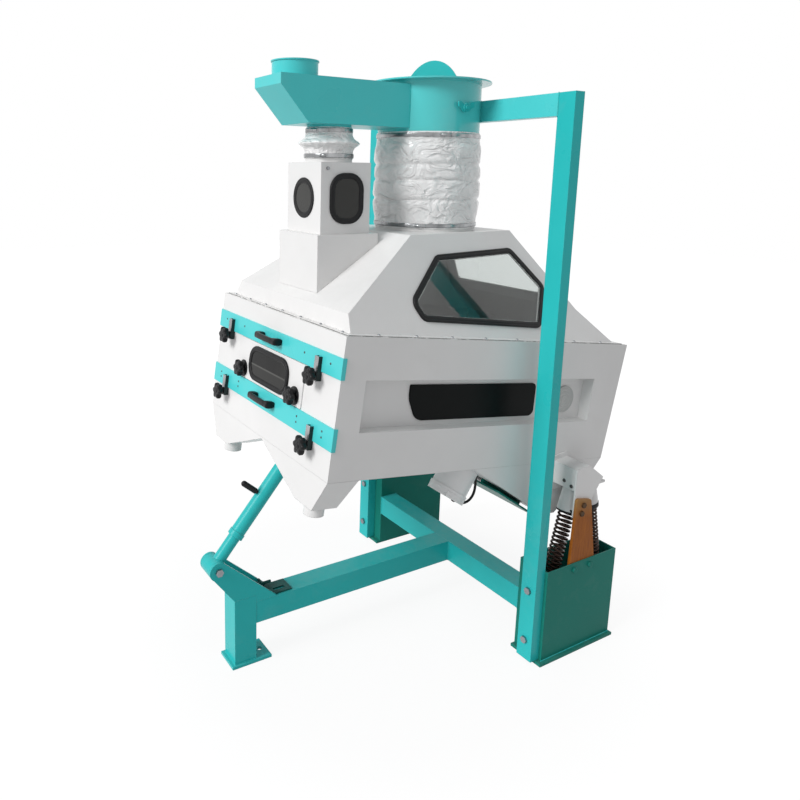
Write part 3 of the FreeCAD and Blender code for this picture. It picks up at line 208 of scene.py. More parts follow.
def math_node(tree, operation, a, b=None, clamp=False):
    node = tree.nodes.new("ShaderNodeMath")
    node.operation = operation
    node.use_clamp = clamp
    for i, value in enumerate((a, b)):
        if isinstance(value, (int, float)):
            node.inputs[i].default_value = value
        elif value is not None:
            tree.links.new(value, node.inputs[i])
    return node.outputs[0]


def mix_colour(tree, amount, a, b):
    node = tree.nodes.new("ShaderNodeMix")
    node.data_type = "RGBA"
    for socket, value in ((node.inputs[0], amount), (node.inputs[6], a), (node.inputs[7], b)):
        if isinstance(value, (int, float)):
            socket.default_value = value
        elif isinstance(value, tuple):
            socket.default_value = (*value, 1)
        else:
            tree.links.new(value, socket)
    return node.outputs[2]


def noise_node(tree, vector, scale, detail=3.0, roughness=0.5, distortion=0.0):
    node = tree.nodes.new("ShaderNodeTexNoise")
    node.inputs["Detail"].default_value = detail
    node.inputs["Roughness"].default_value = roughness
    node.inputs["Distortion"].default_value = distortion
    if isinstance(scale, (int, float)):
        node.inputs["Scale"].default_value = scale
    else:
        tree.links.new(scale, node.inputs["Scale"])
    if vector is not None:
        tree.links.new(vector, node.inputs["Vector"])
    return node.outputs["Fac"]


def ramp(tree, value, low, high, start=0.0, end=1.0):
    node = tree.nodes.new("ShaderNodeMapRange")
    node.inputs["From Min"].default_value = low
    node.inputs["From Max"].default_value = high
    node.inputs["To Min"].default_value = start
    node.inputs["To Max"].default_value = end
    tree.links.new(value, node.inputs["Value"])
    return node.outputs[0]


def make_edge_group():
    """Finds edges: 1 on a worn edge, 0 on flat faces, with a normal that rounds the edge."""
    group, start, end = new_group("edge_wear", [("Radius", "Float", 0.003), ("Breakup", "Float", 60.0)],
                                  [("Edge", "Float"), ("Normal", "Vector")])
    place = group.nodes.new("ShaderNodeTexCoord")
    bevel = group.nodes.new("ShaderNodeBevel")
    bevel.samples = 4
    link(group, start.outputs["Radius"], bevel.inputs["Radius"])
    shape = group.nodes.new("ShaderNodeNewGeometry")
    dot = group.nodes.new("ShaderNodeVectorMath")
    dot.operation = "DOT_PRODUCT"
    link(group, bevel.outputs[0], dot.inputs[0])
    link(group, shape.outputs["Normal"], dot.inputs[1])
    bend = ramp(group, dot.outputs["Value"], 0.985, 0.86)
    patches = noise_node(group, place.outputs["Object"], start.outputs["Breakup"], 4.0, 0.6)
    worn = math_node(group, "MULTIPLY", bend, ramp(group, patches, 0.42, 0.62), clamp=True)
    link(group, worn, end.inputs["Edge"])
    link(group, bevel.outputs[0], end.inputs["Normal"])
    return group


def make_paint_group():
    """Sprayed enamel: slight mottling, orange peel, settled dust and worn edges."""
    group, start, end = new_group(
        "paint_film",
        [("Paint", "Color", (0.8, 0.8, 0.8, 1)), ("Dust", "Color", (0.5, 0.48, 0.44, 1)), ("Edge", "Float", 0.0),
         ("Edge Tint", "Color", (0.9, 0.9, 0.9, 1)), ("Gloss", "Float", 0.3), ("Dustiness", "Float", 0.1)],
        [("Color", "Color"), ("Roughness", "Float"), ("Height", "Float")])
    place = group.nodes.new("ShaderNodeTexCoord").outputs["Object"]
    cloudy = noise_node(group, place, 2.2, 4.0, 0.55)
    shade = ramp(group, cloudy, 0.3, 0.7, 0.94, 1.03)
    tinted = group.nodes.new("ShaderNodeVectorMath")
    tinted.operation = "SCALE"
    link(group, start.outputs["Paint"], tinted.inputs[0])
    link(group, shade, tinted.inputs["Scale"])
    normal = group.nodes.new("ShaderNodeNewGeometry")
    parts = group.nodes.new("ShaderNodeSeparateXYZ")
    link(group, normal.outputs["Normal"], parts.inputs[0])
    upward = ramp(group, parts.outputs["Z"], 0.2, 0.95)
    specks = noise_node(group, place, 34.0, 5.0, 0.7)
    settled = math_node(group, "MULTIPLY", math_node(group, "MULTIPLY", upward, ramp(group, specks, 0.35, 0.75)),
                        start.outputs["Dustiness"], clamp=True)
    smear = math_node(group, "MULTIPLY", ramp(group, noise_node(group, place, 7.0, 6.0, 0.65, 0.4), 0.56, 0.75),
                      math_node(group, "MULTIPLY", start.outputs["Dustiness"], 0.6), clamp=True)
    dusty = math_node(group, "MAXIMUM", settled, smear)
    colour = mix_colour(group, dusty, tinted.outputs[0], start.outputs["Dust"])
    colour = mix_colour(group, math_node(group, "MULTIPLY", start.outputs["Edge"], 0.45), colour,
                        start.outputs["Edge Tint"])
    link(group, colour, end.inputs["Color"])
    rough = math_node(group, "ADD", start.outputs["Gloss"], ramp(group, cloudy, 0.3, 0.7, -0.03, 0.05))
    rough = math_node(group, "ADD", rough, math_node(group, "MULTIPLY", dusty, 0.5), clamp=True)
    link(group, rough, end.inputs["Roughness"])
    peel = noise_node(group, place, 420.0, 2.0, 0.5)
    waves = noise_node(group, place, 5.0, 2.0, 0.5)
    fine, broad = math_node(group, "MULTIPLY", peel, 0.10), math_node(group, "MULTIPLY", waves, 2.2)
    link(group, math_node(group, "ADD", fine, broad), end.inputs["Height"])
    return group


def make_grain_group():
    """Fine moulded or brushed grain, stretched along one direction by the Stretch input."""
    group, start, end = new_group(
        "fine_grain",
        [("Color", "Color", (0.5, 0.5, 0.5, 1)), ("Stretch", "Vector", (1, 1, 1)), ("Scale", "Float", 300.0),
         ("Rough Low", "Float", 0.3), ("Rough High", "Float", 0.5), ("Mottle", "Float", 0.1)],
        [("Color", "Color"), ("Roughness", "Float"), ("Height", "Float")])
    place = group.nodes.new("ShaderNodeTexCoord").outputs["Object"]
    stretched = group.nodes.new("ShaderNodeVectorMath")
    stretched.operation = "MULTIPLY"
    link(group, place, stretched.inputs[0])
    link(group, start.outputs["Stretch"], stretched.inputs[1])
    grain = noise_node(group, stretched.outputs[0], start.outputs["Scale"], 3.0, 0.6)
    broad = noise_node(group, place, 14.0, 4.0, 0.6)
    spread = math_node(group, "SUBTRACT", start.outputs["Rough High"], start.outputs["Rough Low"])
    rough = math_node(group, "ADD", start.outputs["Rough Low"],
                      math_node(group, "MULTIPLY", spread, ramp(group, math_node(group, "MULTIPLY", math_node(
                          group, "ADD", grain, broad), 0.5), 0.35, 0.65)), clamp=True)
    link(group, rough, end.inputs["Roughness"])
    shade = math_node(group, "SUBTRACT", 1.0, math_node(group, "MULTIPLY", start.outputs["Mottle"],
                                                       ramp(group, broad, 0.35, 0.7)))
    tinted = group.nodes.new("ShaderNodeVectorMath")
    tinted.operation = "SCALE"
    link(group, start.outputs["Color"], tinted.inputs[0])
    link(group, shade, tinted.inputs["Scale"])
    link(group, tinted.outputs[0], end.inputs["Color"])
    link(group, grain, end.inputs["Height"])
    return group


edge_group = make_edge_group()
paint_group = make_paint_group()
grain_group = make_grain_group()


def new_material(name, slot_name):
    material = bpy.data.materials.new(name)
    material.use_nodes = True
    tree = material.node_tree
    tree.nodes.clear()
    shader = tree.nodes.new("ShaderNodeBsdfPrincipled")
    out = tree.nodes.new("ShaderNodeOutputMaterial")
    tree.links.new(shader.outputs[0], out.inputs[0])
    material["record_slot"] = slot_name
    return material, tree, shader


def place_group(tree, group, **values):
    node = tree.nodes.new("ShaderNodeGroup")
    node.node_tree = group
    for label, value in values.items():
        label = label.replace("_", " ")
        node.inputs[label].default_value = (*value, 1) if node.inputs[label].type == "RGBA" else value
    return node


def bump_from(tree, shader, height, depth, normal=None):
    bump = tree.nodes.new("ShaderNodeBump")
    bump.inputs["Strength"].default_value = 1.0
    bump.inputs["Distance"].default_value = depth
    tree.links.new(height, bump.inputs["Height"])
    if normal is not None:
        tree.links.new(normal, bump.inputs["Normal"])
    tree.links.new(bump.outputs[0], shader.inputs["Normal"])


def paint(name, slot_name, colour, gloss=0.3, dustiness=0.10, edge_tint=(0.9, 0.9, 0.9), edge_radius=0.0025,
          wave=0.0002, shine=0.3):
    material, tree, shader = new_material(name, slot_name)
    edges = place_group(tree, edge_group, Radius=edge_radius, Breakup=70.0)
    film = place_group(tree, paint_group, Paint=colour, Edge_Tint=edge_tint, Gloss=gloss, Dustiness=dustiness)
    tree.links.new(edges.outputs["Edge"], film.inputs["Edge"])
    tree.links.new(film.outputs["Color"], shader.inputs["Base Color"])
    tree.links.new(film.outputs["Roughness"], shader.inputs["Roughness"])
    bump_from(tree, shader, film.outputs["Height"], wave, edges.outputs["Normal"])
    shader.inputs["Specular IOR Level"].default_value = shine
    return material


def grained(name, slot_name, colour, metallic=0.0, rough=(0.3, 0.5), scale=300.0, stretch=(1, 1, 1), depth=0.00005,
            mottle=0.1, edge_radius=0.0, shine=0.5):
    material, tree, shader = new_material(name, slot_name)
    grain = place_group(tree, grain_group, Color=colour, Stretch=stretch, Scale=scale, Rough_Low=rough[0],
                        Rough_High=rough[1], Mottle=mottle)
    tree.links.new(grain.outputs["Color"], shader.inputs["Base Color"])
    tree.links.new(grain.outputs["Roughness"], shader.inputs["Roughness"])
    normal = None
    if edge_radius:
        normal = place_group(tree, edge_group, Radius=edge_radius).outputs["Normal"]
    bump_from(tree, shader, grain.outputs["Height"], depth, normal)
    shader.inputs["Metallic"].default_value = metallic
    shader.inputs["Specular IOR Level"].default_value = shine
    return material


turquoise = paint("turquoise_enamel", "teal_paint", (0.026, 0.500, 0.500), gloss=0.28, edge_tint=(0.25, 0.75, 0.72),
                  shine=0.15)
# lighter copy of the teal enamel: painted light on the bars, arms and feed chute
painted_light_turquoise = paint("painted_light_turquoise", "teal_paint", (0.080, 0.640, 0.650), gloss=0.28,
                         edge_tint=(0.30, 0.80, 0.78), shine=0.25)
# glossier teal on the duct; its lighter colour is painted light standing in for the duct's highlights
duct_gloss_and_painted_light = paint("duct_gloss_and_painted_light", "teal_paint", (0.085, 0.620, 0.620), gloss=0.14, edge_tint=(0.30, 0.80, 0.78),
                    wave=0.0006, shine=0.45)
# darker copy of the teal enamel: painted shade on the spring boxes, the outlet guide, the bolts on the boxes and the
# foot plates' outer faces
painted_shade_turquoise = paint("painted_shade_turquoise", "teal_paint", (0.012, 0.200, 0.160), gloss=0.36,
                         edge_tint=(0.10, 0.40, 0.38), shine=0.08)
white_enamel = paint("white_enamel", "white_paint", (0.800, 0.792, 0.785), gloss=0.30, dustiness=0.10,
                     edge_tint=(0.55, 0.54, 0.52), shine=0.3)
motor_enamel = paint("motor_enamel", "white_paint", (0.86, 0.86, 0.86), gloss=0.34, wave=0.0002, shine=0.45)
bright_steel = grained("zinc_steel", "plain_steel", (0.44, 0.45, 0.46), 1.0, (0.16, 0.34), 200.0, (5, 1, 1), 0.00004,
                       0.35, 0.001)
band_steel = grained("polished_band", "plain_steel", (0.42, 0.43, 0.44), 1.0, (0.14, 0.34), 120.0, (1, 1, 9),
                     0.00004, 0.6)
bolt_steel = grained("bolt_steel", "plain_steel", (0.34, 0.35, 0.37), 1.0, (0.25, 0.45), 400.0, mottle=0.35,
                     edge_radius=0.0012)
spring_steel = grained("spring_wire", "spring_steel", (0.060, 0.034, 0.026), 0.7, (0.26, 0.5), 260.0, mottle=0.6,
                       shine=0.2)
knob_plastic = grained("knob_plastic", "black_plastic", (0.008, 0.008, 0.009), 0.0, (0.24, 0.38), 700.0,
                       depth=0.00004, shine=0.2)
# the stop bracket's dark teal is the teal paint with painted shade
stop_plate_painted_shade = grained("painted_shade_teal_plate", "plain_steel", (0.012, 0.110, 0.100), 0.0, (0.35, 0.6), 200.0, mottle=0.4,
                     edge_radius=0.001, shine=0.15)
seal_rubber = grained("seal_rubber", "black_rubber", (0.008, 0.008, 0.009), 0.0, (0.36, 0.52), 500.0, depth=0.00005,
                      shine=0.22)
lead_rubber = grained("lead_rubber", "black_rubber", (0.012, 0.012, 0.012), 0.0, (0.40, 0.55), 600.0, shine=0.2)
shade_panel = grained("shade_panel", "gloss_black", (0.006, 0.007, 0.007), 0.0, (0.28, 0.40), 60.0, depth=0.00001,
                      shine=0.06)
port_enamel = paint("port_enamel", "white_paint", (0.56, 0.57, 0.56), gloss=0.34, edge_tint=(0.12, 0.12, 0.12), shine=0.3)


def gasket_material():
    """Dark gasket that shows between two flanges in dashes, where it was not painted over."""
    material, tree, shader = new_material("gasket_strip", "black_rubber")
    place = tree.nodes.new("ShaderNodeTexCoord").outputs["Object"]
    dashes = ramp(tree, noise_node(tree, place, 22.0, 4.0, 0.7), 0.40, 0.47)
    tree.links.new(mix_colour(tree, dashes, (0.62, 0.61, 0.60), (0.035, 0.033, 0.030)), shader.inputs["Base Color"])
    tree.links.new(ramp(tree, dashes, 0.0, 1.0, 0.4, 0.8), shader.inputs["Roughness"])
    shader.inputs["Specular IOR Level"].default_value = 0.2
    return material


gasket_strip = gasket_material()


def pane_material(name, slot_name, colour, haze, transmission, roughness, shine=0.5):
    material, tree, shader = new_material(name, slot_name)
    smears = noise_node(tree, tree.nodes.new("ShaderNodeTexCoord").outputs["Object"], 9.0, 5.0, 0.6, 0.6)
    tree.links.new(ramp(tree, smears, 0.35, 0.75, roughness, roughness + 0.05), shader.inputs["Roughness"])
    tree.links.new(mix_colour(tree, ramp(tree, smears, 0.4, 0.8, 0.0, 0.12), colour, haze), shader.inputs["Base Color"])
    shader.inputs["Transmission Weight"].default_value = transmission
    shader.inputs["IOR"].default_value = 1.45
    shader.inputs["Specular IOR Level"].default_value = shine
    return material


def pane_with_painted_view(name, slot_name):
    """Dark pane with the view behind it painted on: painted shade for the dark space behind, the ledge as a paler line
    of painted light, and painted light for the brighter space under it.
    """
    material, tree, shader = new_material(name, slot_name)
    place = tree.nodes.new("ShaderNodeTexCoord").outputs["Object"]
    rise = tree.nodes.new("ShaderNodeVectorMath")
    rise.operation = "DOT_PRODUCT"
    rise.inputs[1].default_value = body_up
    tree.links.new(place, rise.inputs[0])
    ledge = level(0, 0, 0.960).dot(body_up)
    # under is painted light for the brighter space below the ledge, line a painted highlight on the ledge's edge, and
    # the near-black above it painted shade
    under = ramp(tree, rise.outputs["Value"], ledge + 0.001, ledge - 0.001)
    line = ramp(tree, math_node(tree, "ABSOLUTE", math_node(tree, "SUBTRACT", rise.outputs["Value"], ledge)),
                0.0035, 0.0015)
    colour = mix_colour(tree, under, (0.008, 0.008, 0.008), (0.026, 0.026, 0.025))
    colour = mix_colour(tree, line, colour, (0.085, 0.085, 0.08))
    smears = noise_node(tree, place, 11.0, 4.0, 0.6, 0.5)
    colour = mix_colour(tree, ramp(tree, smears, 0.45, 0.8, 0.0, 0.3), colour, (0.045, 0.045, 0.042))
    tree.links.new(colour, shader.inputs["Base Color"])
    tree.links.new(ramp(tree, smears, 0.35, 0.75, 0.06, 0.16), shader.inputs["Roughness"])
    shader.inputs["Specular IOR Level"].default_value = 0.12
    return material


hood_glass = pane_material("hood_pane", "clear_pane", (0.80, 0.83, 0.82), (0.6, 0.6, 0.58), 1.0, 0.01)
smoked_glass = pane_material("smoked_pane", "dark_pane", (0.040, 0.040, 0.037), (0.12, 0.12, 0.11), 0.2, 0.03, 0.25)
door_glass = pane_with_painted_view("door_pane_glass", "dark_pane")


def screen_material():
    """Screen sheet with rows of dark slots between bright steel lands."""
    material, tree, shader = new_material("screen_sheet", "plain_steel")
    place = tree.nodes.new("ShaderNodeTexCoord").outputs["Object"]
    brick = tree.nodes.new("ShaderNodeTexBrick")
    brick.inputs["Scale"].default_value = 26.0
    brick.inputs["Mortar Size"].default_value = 0.02
    brick.inputs["Mortar Smooth"].default_value = 0.2
    brick.inputs["Color1"].default_value = (0.08, 0.08, 0.08, 1)
    brick.inputs["Color2"].default_value = (0.12, 0.12, 0.12, 1)
    brick.inputs["Mortar"].default_value = (0.55, 0.56, 0.57, 1)
    tree.links.new(place, brick.inputs["Vector"])
    tree.links.new(brick.outputs["Color"], shader.inputs["Base Color"])
    tree.links.new(ramp(tree, brick.outputs["Fac"], 0.0, 1.0, 0.55, 0.32), shader.inputs["Roughness"])
    bump_from(tree, shader, brick.outputs["Fac"], 0.0008)
    shader.inputs["Metallic"].default_value = 0.9
    return material


def board_material():
    """Varnished plywood: long grain up the board, with darker streaks."""
    material, tree, shader = new_material("varnished_board", "board")
    place = tree.nodes.new("ShaderNodeTexCoord").outputs["Object"]
    mapping = tree.nodes.new("ShaderNodeMapping")
    mapping.inputs["Scale"].default_value = (1.0, 14.0, 1.6)
    tree.links.new(place, mapping.inputs["Vector"])
    grain = noise_node(tree, mapping.outputs[0], 9.0, 6.0, 0.62, 0.8)
    fine = noise_node(tree, mapping.outputs[0], 60.0, 3.0, 0.6)
    streaks = ramp(tree, grain, 0.32, 0.68)
    colour = mix_colour(tree, streaks, (0.40, 0.120, 0.012), (0.25, 0.070, 0.008))
    colour = mix_colour(tree, ramp(tree, fine, 0.5, 0.8, 0.0, 0.35), colour, (0.45, 0.17, 0.03))
    height = tree.nodes.new("ShaderNodeSeparateXYZ")
    tree.links.new(place, height.inputs[0])
    greyer = math_node(tree, "MULTIPLY", ramp(tree, height.outputs["Z"], 0.500, 0.565), 0.75, clamp=True)
    colour = mix_colour(tree, greyer, colour, (0.38, 0.22, 0.085))
    tree.links.new(colour, shader.inputs["Base Color"])
    tree.links.new(ramp(tree, fine, 0.3, 0.7, 0.35, 0.55), shader.inputs["Roughness"])
    shader.inputs["Specular IOR Level"].default_value = 0.15
    bump_from(tree, shader, fine, 0.0002)
    return material


def sleeve_material():
    """White coated cloth: a close weave under a thin glossy film."""
    material, tree, shader = new_material("coated_cloth", "cloth")
    uv = tree.nodes.new("ShaderNodeUVMap")
    uv.uv_map = "UVMap"
    mapping = tree.nodes.new("ShaderNodeMapping")
    mapping.inputs["Scale"].default_value = (520.0, 170.0, 1.0)
    tree.links.new(uv.outputs[0], mapping.inputs["Vector"])
    weave = []
    for direction in ("X", "Y"):
        wave = tree.nodes.new("ShaderNodeTexWave")
        wave.bands_direction = direction
        wave.inputs["Scale"].default_value = 1.0
        tree.links.new(mapping.outputs[0], wave.inputs["Vector"])
        weave.append(wave.outputs["Fac"])
    threads = math_node(tree, "MULTIPLY", weave[0], weave[1])
    place = tree.nodes.new("ShaderNodeTexCoord").outputs["Object"]
    grey = noise_node(tree, place, 12.0, 5.0, 0.6, 0.3)
    colour = mix_colour(tree, ramp(tree, grey, 0.35, 0.7, 0.0, 0.6), (0.90, 0.895, 0.89), (0.76, 0.755, 0.75))
    tree.links.new(colour, shader.inputs["Base Color"])
    tree.links.new(ramp(tree, grey, 0.3, 0.7, 0.24, 0.42), shader.inputs["Roughness"])
    broad = tree.nodes.new("ShaderNodeMapping")
    broad.inputs["Scale"].default_value = (1.0, 1.0, 1.7)
    tree.links.new(place, broad.inputs["Vector"])
    ridge = noise_node(tree, broad.outputs[0], 12.0, 3.0, 0.5, 1.2)
    ridge = math_node(tree, "ABSOLUTE", math_node(tree, "SUBTRACT", ridge, 0.5))
    crinkle = noise_node(tree, place, 60.0, 4.0, 0.6, 0.5)
    height = math_node(tree, "ADD", math_node(tree, "MULTIPLY", threads, 0.05), crinkle)
    height = math_node(tree, "SUBTRACT", height, math_node(tree, "MULTIPLY", ridge, 18.0))
    bump_from(tree, shader, height, 0.0016)
    shader.inputs["Coat Weight"].default_value = 0.5
    shader.inputs["Coat Roughness"].default_value = 0.15
    return material


screen_sheet = screen_material()
varnished_board = board_material()
coated_cloth = sleeve_material()

finishes = {
    turquoise: "front_leg front_cheeks foot_plates long_beam rear_crossbeam post_right post_left damper_disc "
               "damper_wing strut_foot strut_sleeve strut_rod strut_lugs",
    painted_light_turquoise: "upper_bar lower_bar top_arms feed_chute",
    painted_shade_turquoise: "spring_box_right spring_box_left outlet_guide",
    duct_gloss_and_painted_light: "duct",
    white_enamel: "body_tray front_hopper rear_hopper hood inlet_throat inlet_box inspection_door spring_brackets "
                  "spring_cups port_discs",
    motor_enamel: "vibration_motors",
    bolt_steel: "frame_bolts body_screws feed_flap",
    stop_plate_painted_shade: "stop_bracket",
    bright_steel: "upper_clamps lower_clamps",
    band_steel: "upper_bands lower_bands",
    screen_sheet: "upper_deck lower_deck",
    spring_steel: "rear_springs",
    knob_plastic: "strut_grip upper_handle lower_handle knob_upper_right knob_upper_left knob_lower_right "
                  "knob_lower_left door_knob_right door_knob_left",
    lead_rubber: "motor_lead",
    seal_rubber: "window_seals door_window",
    hood_glass: "window_panes",
    shade_panel: "side_windows",
    varnished_board: "support_boards",
    coated_cloth: "big_sleeve small_sleeve",
}
for material, names in finishes.items():
    for name in names.split():
        mesh = nodes[name].data
        mesh.materials.clear()
        mesh.materials.append(material)


# Mesh helpers
def piece_from(name, mesh, material, body, smooth=True):
    piece = bpy.data.objects.new(name, mesh)
    scene.collection.objects.link(piece)
    if material is not None and not mesh.materials:
        mesh.materials.append(material)
    for face in mesh.polygons:
        face.use_smooth = smooth
    if body:
        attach(piece, body)
    return piece


def mesh_from(name, verts, faces, outward=True):
    mesh = bpy.data.meshes.new(name)
    mesh.from_pydata([tuple(v) for v in verts], [], faces)
    work = bmesh.new()
    work.from_mesh(mesh)
    bmesh.ops.remove_doubles(work, verts=work.verts, dist=1e-6)
    if outward:
        bmesh.ops.recalc_face_normals(work, faces=work.faces)
    work.to_mesh(mesh)
    work.free()
    return mesh


def joined(name, meshes):
    work = bmesh.new()
    for mesh in meshes:
        work.from_mesh(mesh)
    result = bpy.data.meshes.new(name)
    work.to_mesh(result)
    work.free()
    return result


def grid_faces(rings, around, close_ring=True):
    faces = []
    for i in range(rings - 1):
        for j in range(around if close_ring else around - 1):
            k = (j + 1) % around
            faces.append((i * around + j, i * around + k, (i + 1) * around + k, (i + 1) * around + j))
    return faces


def lathe(name, profile, place, around=48, lobes=None):
    """Turns a (radius, height) profile about the place's Z axis; lobes shapes the radius by angle."""
    verts = []
    for radius, height, depth in [(*p, 0.0)[:3] if len(p) == 2 else p for p in profile]:
        for j in range(around):
            turn = 2 * math.pi * j / around
            r = radius * (1 + depth * lobes(turn)) if lobes else radius
            verts.append(place @ Vector((r * math.cos(turn), r * math.sin(turn), height)))
    return mesh_from(name, verts, grid_faces(len(profile), around))


def rounded_outline(corners, steps=8):
    """Outline through (x, y, radius) corners, each rounded by an arc that touches both sides."""
    points = []
    count = len(corners)
    for i, (x, y, radius) in enumerate(corners):
        here = Vector((x, y))
        to_last = (Vector(corners[i - 1][:2]) - here).normalized()
        to_next = (Vector(corners[(i + 1) % count][:2]) - here).normalized()
        half = to_last.angle(to_next) / 2
        middle_way = (to_last + to_next).normalized()
        centre = here + middle_way * (radius / math.sin(half))
        first = here + to_last * (radius / math.tan(half)) - centre
        last = here + to_next * (radius / math.tan(half)) - centre
        for step in range(steps + 1):
            share = step / steps
            spoke = (first * (1 - share) + last * share).normalized() * radius
            points.append(centre + spoke)
    return points


def inset(points, distance):
    """Moves a closed outline inwards by the distance, corner by corner."""
    area = sum(a.cross(b) for a, b in zip(points, points[1:] + points[:1]))
    side = 1 if area > 0 else -1
    moved = []
    for i, here in enumerate(points):
        before = (here - points[i - 1])
        after = (points[(i + 1) % len(points)] - here)
        if before.length < 1e-7:
            before = after
        if after.length < 1e-7:
            after = before
        along = (before.normalized() + after.normalized()).normalized()
        moved.append(here + Vector((-along.y, along.x)) * (distance * side))
    return moved


def seal_ring(name, outline, to_space, section):
    """Rubber strip round an outline; section lists (inset, height) round the strip."""
    rings = []
    for inward, height in section:
        rings += [to_space(p, height) for p in inset(outline, inward)]
    count = len(outline)
    faces = grid_faces(len(section), count)
    last = (len(section) - 1) * count
    for j in range(count):
        k = (j + 1) % count
        faces.append((last + j, last + k, k, j))
    return mesh_from(name, rings, faces)


def slab(name, outline, to_space, low, high, edge=0.0):
    """Flat plate inside an outline, from height low to high, with a small chamfer on its upper edge."""
    levels = [(0.0, low), (0.0, high - edge), (edge, high)] if edge else [(0.0, low), (0.0, high)]
    verts = []
    for inward, height in levels:
        verts += [to_space(p, height) for p in inset(outline, inward)]
    count = len(outline)
    faces = grid_faces(len(levels), count)
    faces.append(tuple(range(count)))
    faces.append(tuple(range((len(levels) - 1) * count, len(levels) * count))[::-1])
    return mesh_from(name, verts, faces)


def finish_piece(piece, bevel=0.0, subdivide=0):
    if bevel:
        rounding = piece.modifiers.new("rounding", "BEVEL")
        rounding.width = bevel
        rounding.segments = 3
        rounding.limit_method = "ANGLE"
    if subdivide:
        smoothing = piece.modifiers.new("smoothing", "SUBSURF")
        smoothing.levels = subdivide
        smoothing.render_levels = subdivide
    return piece


# Geometry node trees
def new_tree(name, inputs):
    tree = bpy.data.node_groups.new(name, "GeometryNodeTree")
    tree.interface.new_socket("Geometry", in_out="INPUT", socket_type="NodeSocketGeometry")
    for label, kind, value in inputs:
        socket = tree.interface.new_socket(label, in_out="INPUT", socket_type="NodeSocket" + kind)
        socket.default_value = value
    tree.interface.new_socket("Geometry", in_out="OUTPUT", socket_type="NodeSocketGeometry")
    return tree, tree.nodes.new("NodeGroupInput"), tree.nodes.new("NodeGroupOutput")


def end_tree(tree, geometry, end, material):
    real = tree.nodes.new("GeometryNodeRealizeInstances")
    link(tree, geometry, real.inputs[0])
    smooth = tree.nodes.new("GeometryNodeSetShadeSmooth")
    link(tree, real.outputs[0], smooth.inputs[0])
    coloured = tree.nodes.new("GeometryNodeSetMaterial")
    coloured.inputs["Material"].default_value = material
    link(tree, smooth.outputs[0], coloured.inputs[0])
    link(tree, coloured.outputs[0], end.inputs[0])


def instances_facing(tree, points, shape):
    """Puts a copy of the shape on every point, its Z along the point's own facing."""
    facing = tree.nodes.new("GeometryNodeInputNamedAttribute")
    facing.data_type = "FLOAT_VECTOR"
    facing.inputs["Name"].default_value = "facing"
    align = tree.nodes.new("FunctionNodeAlignRotationToVector")
    align.axis = "Z"
    link(tree, facing.outputs[0], align.inputs["Vector"])
    place = tree.nodes.new("GeometryNodeInstanceOnPoints")
    link(tree, points, place.inputs["Points"])
    link(tree, shape, place.inputs["Instance"])
    link(tree, align.outputs[0], place.inputs["Rotation"])
    return place.outputs[0]


def make_screw_tree(material):
    """Round head with a hexagon socket sunk in its top."""
    tree, start, end = new_tree("screw_heads", [("Head Radius", "Float", 0.005), ("Head Height", "Float", 0.003),
                                                ("Socket Radius", "Float", 0.002)])
    head = tree.nodes.new("GeometryNodeMeshUVSphere")
    head.inputs["Segments"].default_value = 14
    head.inputs["Rings"].default_value = 8
    link(tree, start.outputs["Head Radius"], head.inputs["Radius"])
    flat = tree.nodes.new("ShaderNodeCombineXYZ")
    flat.inputs[0].default_value = 1.0
    flat.inputs[1].default_value = 1.0
    flatness = math_node(tree, "DIVIDE", start.outputs["Head Height"], start.outputs["Head Radius"])
    link(tree, flatness, flat.inputs[2])
    press = tree.nodes.new("GeometryNodeTransform")
    link(tree, head.outputs[0], press.inputs["Geometry"])
    link(tree, flat.outputs[0], press.inputs["Scale"])
    socket = tree.nodes.new("GeometryNodeMeshCylinder")
    socket.inputs["Vertices"].default_value = 6
    link(tree, start.outputs["Socket Radius"], socket.inputs["Radius"])
    link(tree, start.outputs["Head Height"], socket.inputs["Depth"])
    lift = tree.nodes.new("ShaderNodeCombineXYZ")
    link(tree, start.outputs["Head Height"], lift.inputs[2])
    raised = tree.nodes.new("GeometryNodeTransform")
    link(tree, socket.outputs[0], raised.inputs["Geometry"])
    link(tree, lift.outputs[0], raised.inputs["Translation"])
    drilled = tree.nodes.new("GeometryNodeMeshBoolean")
    drilled.operation = "DIFFERENCE"
    link(tree, press.outputs[0], drilled.inputs["Mesh 1"])
    link(tree, raised.outputs[0], drilled.inputs["Mesh 2"])
    end_tree(tree, instances_facing(tree, start.outputs["Geometry"], drilled.outputs[0]), end, material)
    return tree


def make_coil_tree(material):
    """Coil spring wound up its own axis."""
    tree, start, end = new_tree("coil_spring", [("Turns", "Float", 15.0), ("Coil Radius", "Float", 0.024),
                                                ("Free Length", "Float", 0.3), ("Wire Radius", "Float", 0.004)])
    line = tree.nodes.new("GeometryNodeCurveSpiral")
    line.inputs["Resolution"].default_value = 26
    link(tree, start.outputs["Turns"], line.inputs["Rotations"])
    link(tree, start.outputs["Coil Radius"], line.inputs["Start Radius"])
    link(tree, start.outputs["Coil Radius"], line.inputs["End Radius"])
    link(tree, start.outputs["Free Length"], line.inputs["Height"])
    wire = tree.nodes.new("GeometryNodeCurvePrimitiveCircle")
    wire.inputs["Resolution"].default_value = 10
    link(tree, start.outputs["Wire Radius"], wire.inputs["Radius"])
    swept = tree.nodes.new("GeometryNodeCurveToMesh")
    link(tree, line.outputs[0], swept.inputs["Curve"])
    link(tree, wire.outputs[0], swept.inputs["Profile Curve"])
    swept.inputs["Fill Caps"].default_value = True
    end_tree(tree, instances_facing(tree, start.outputs["Geometry"], swept.outputs[0]), end, material)
    return tree


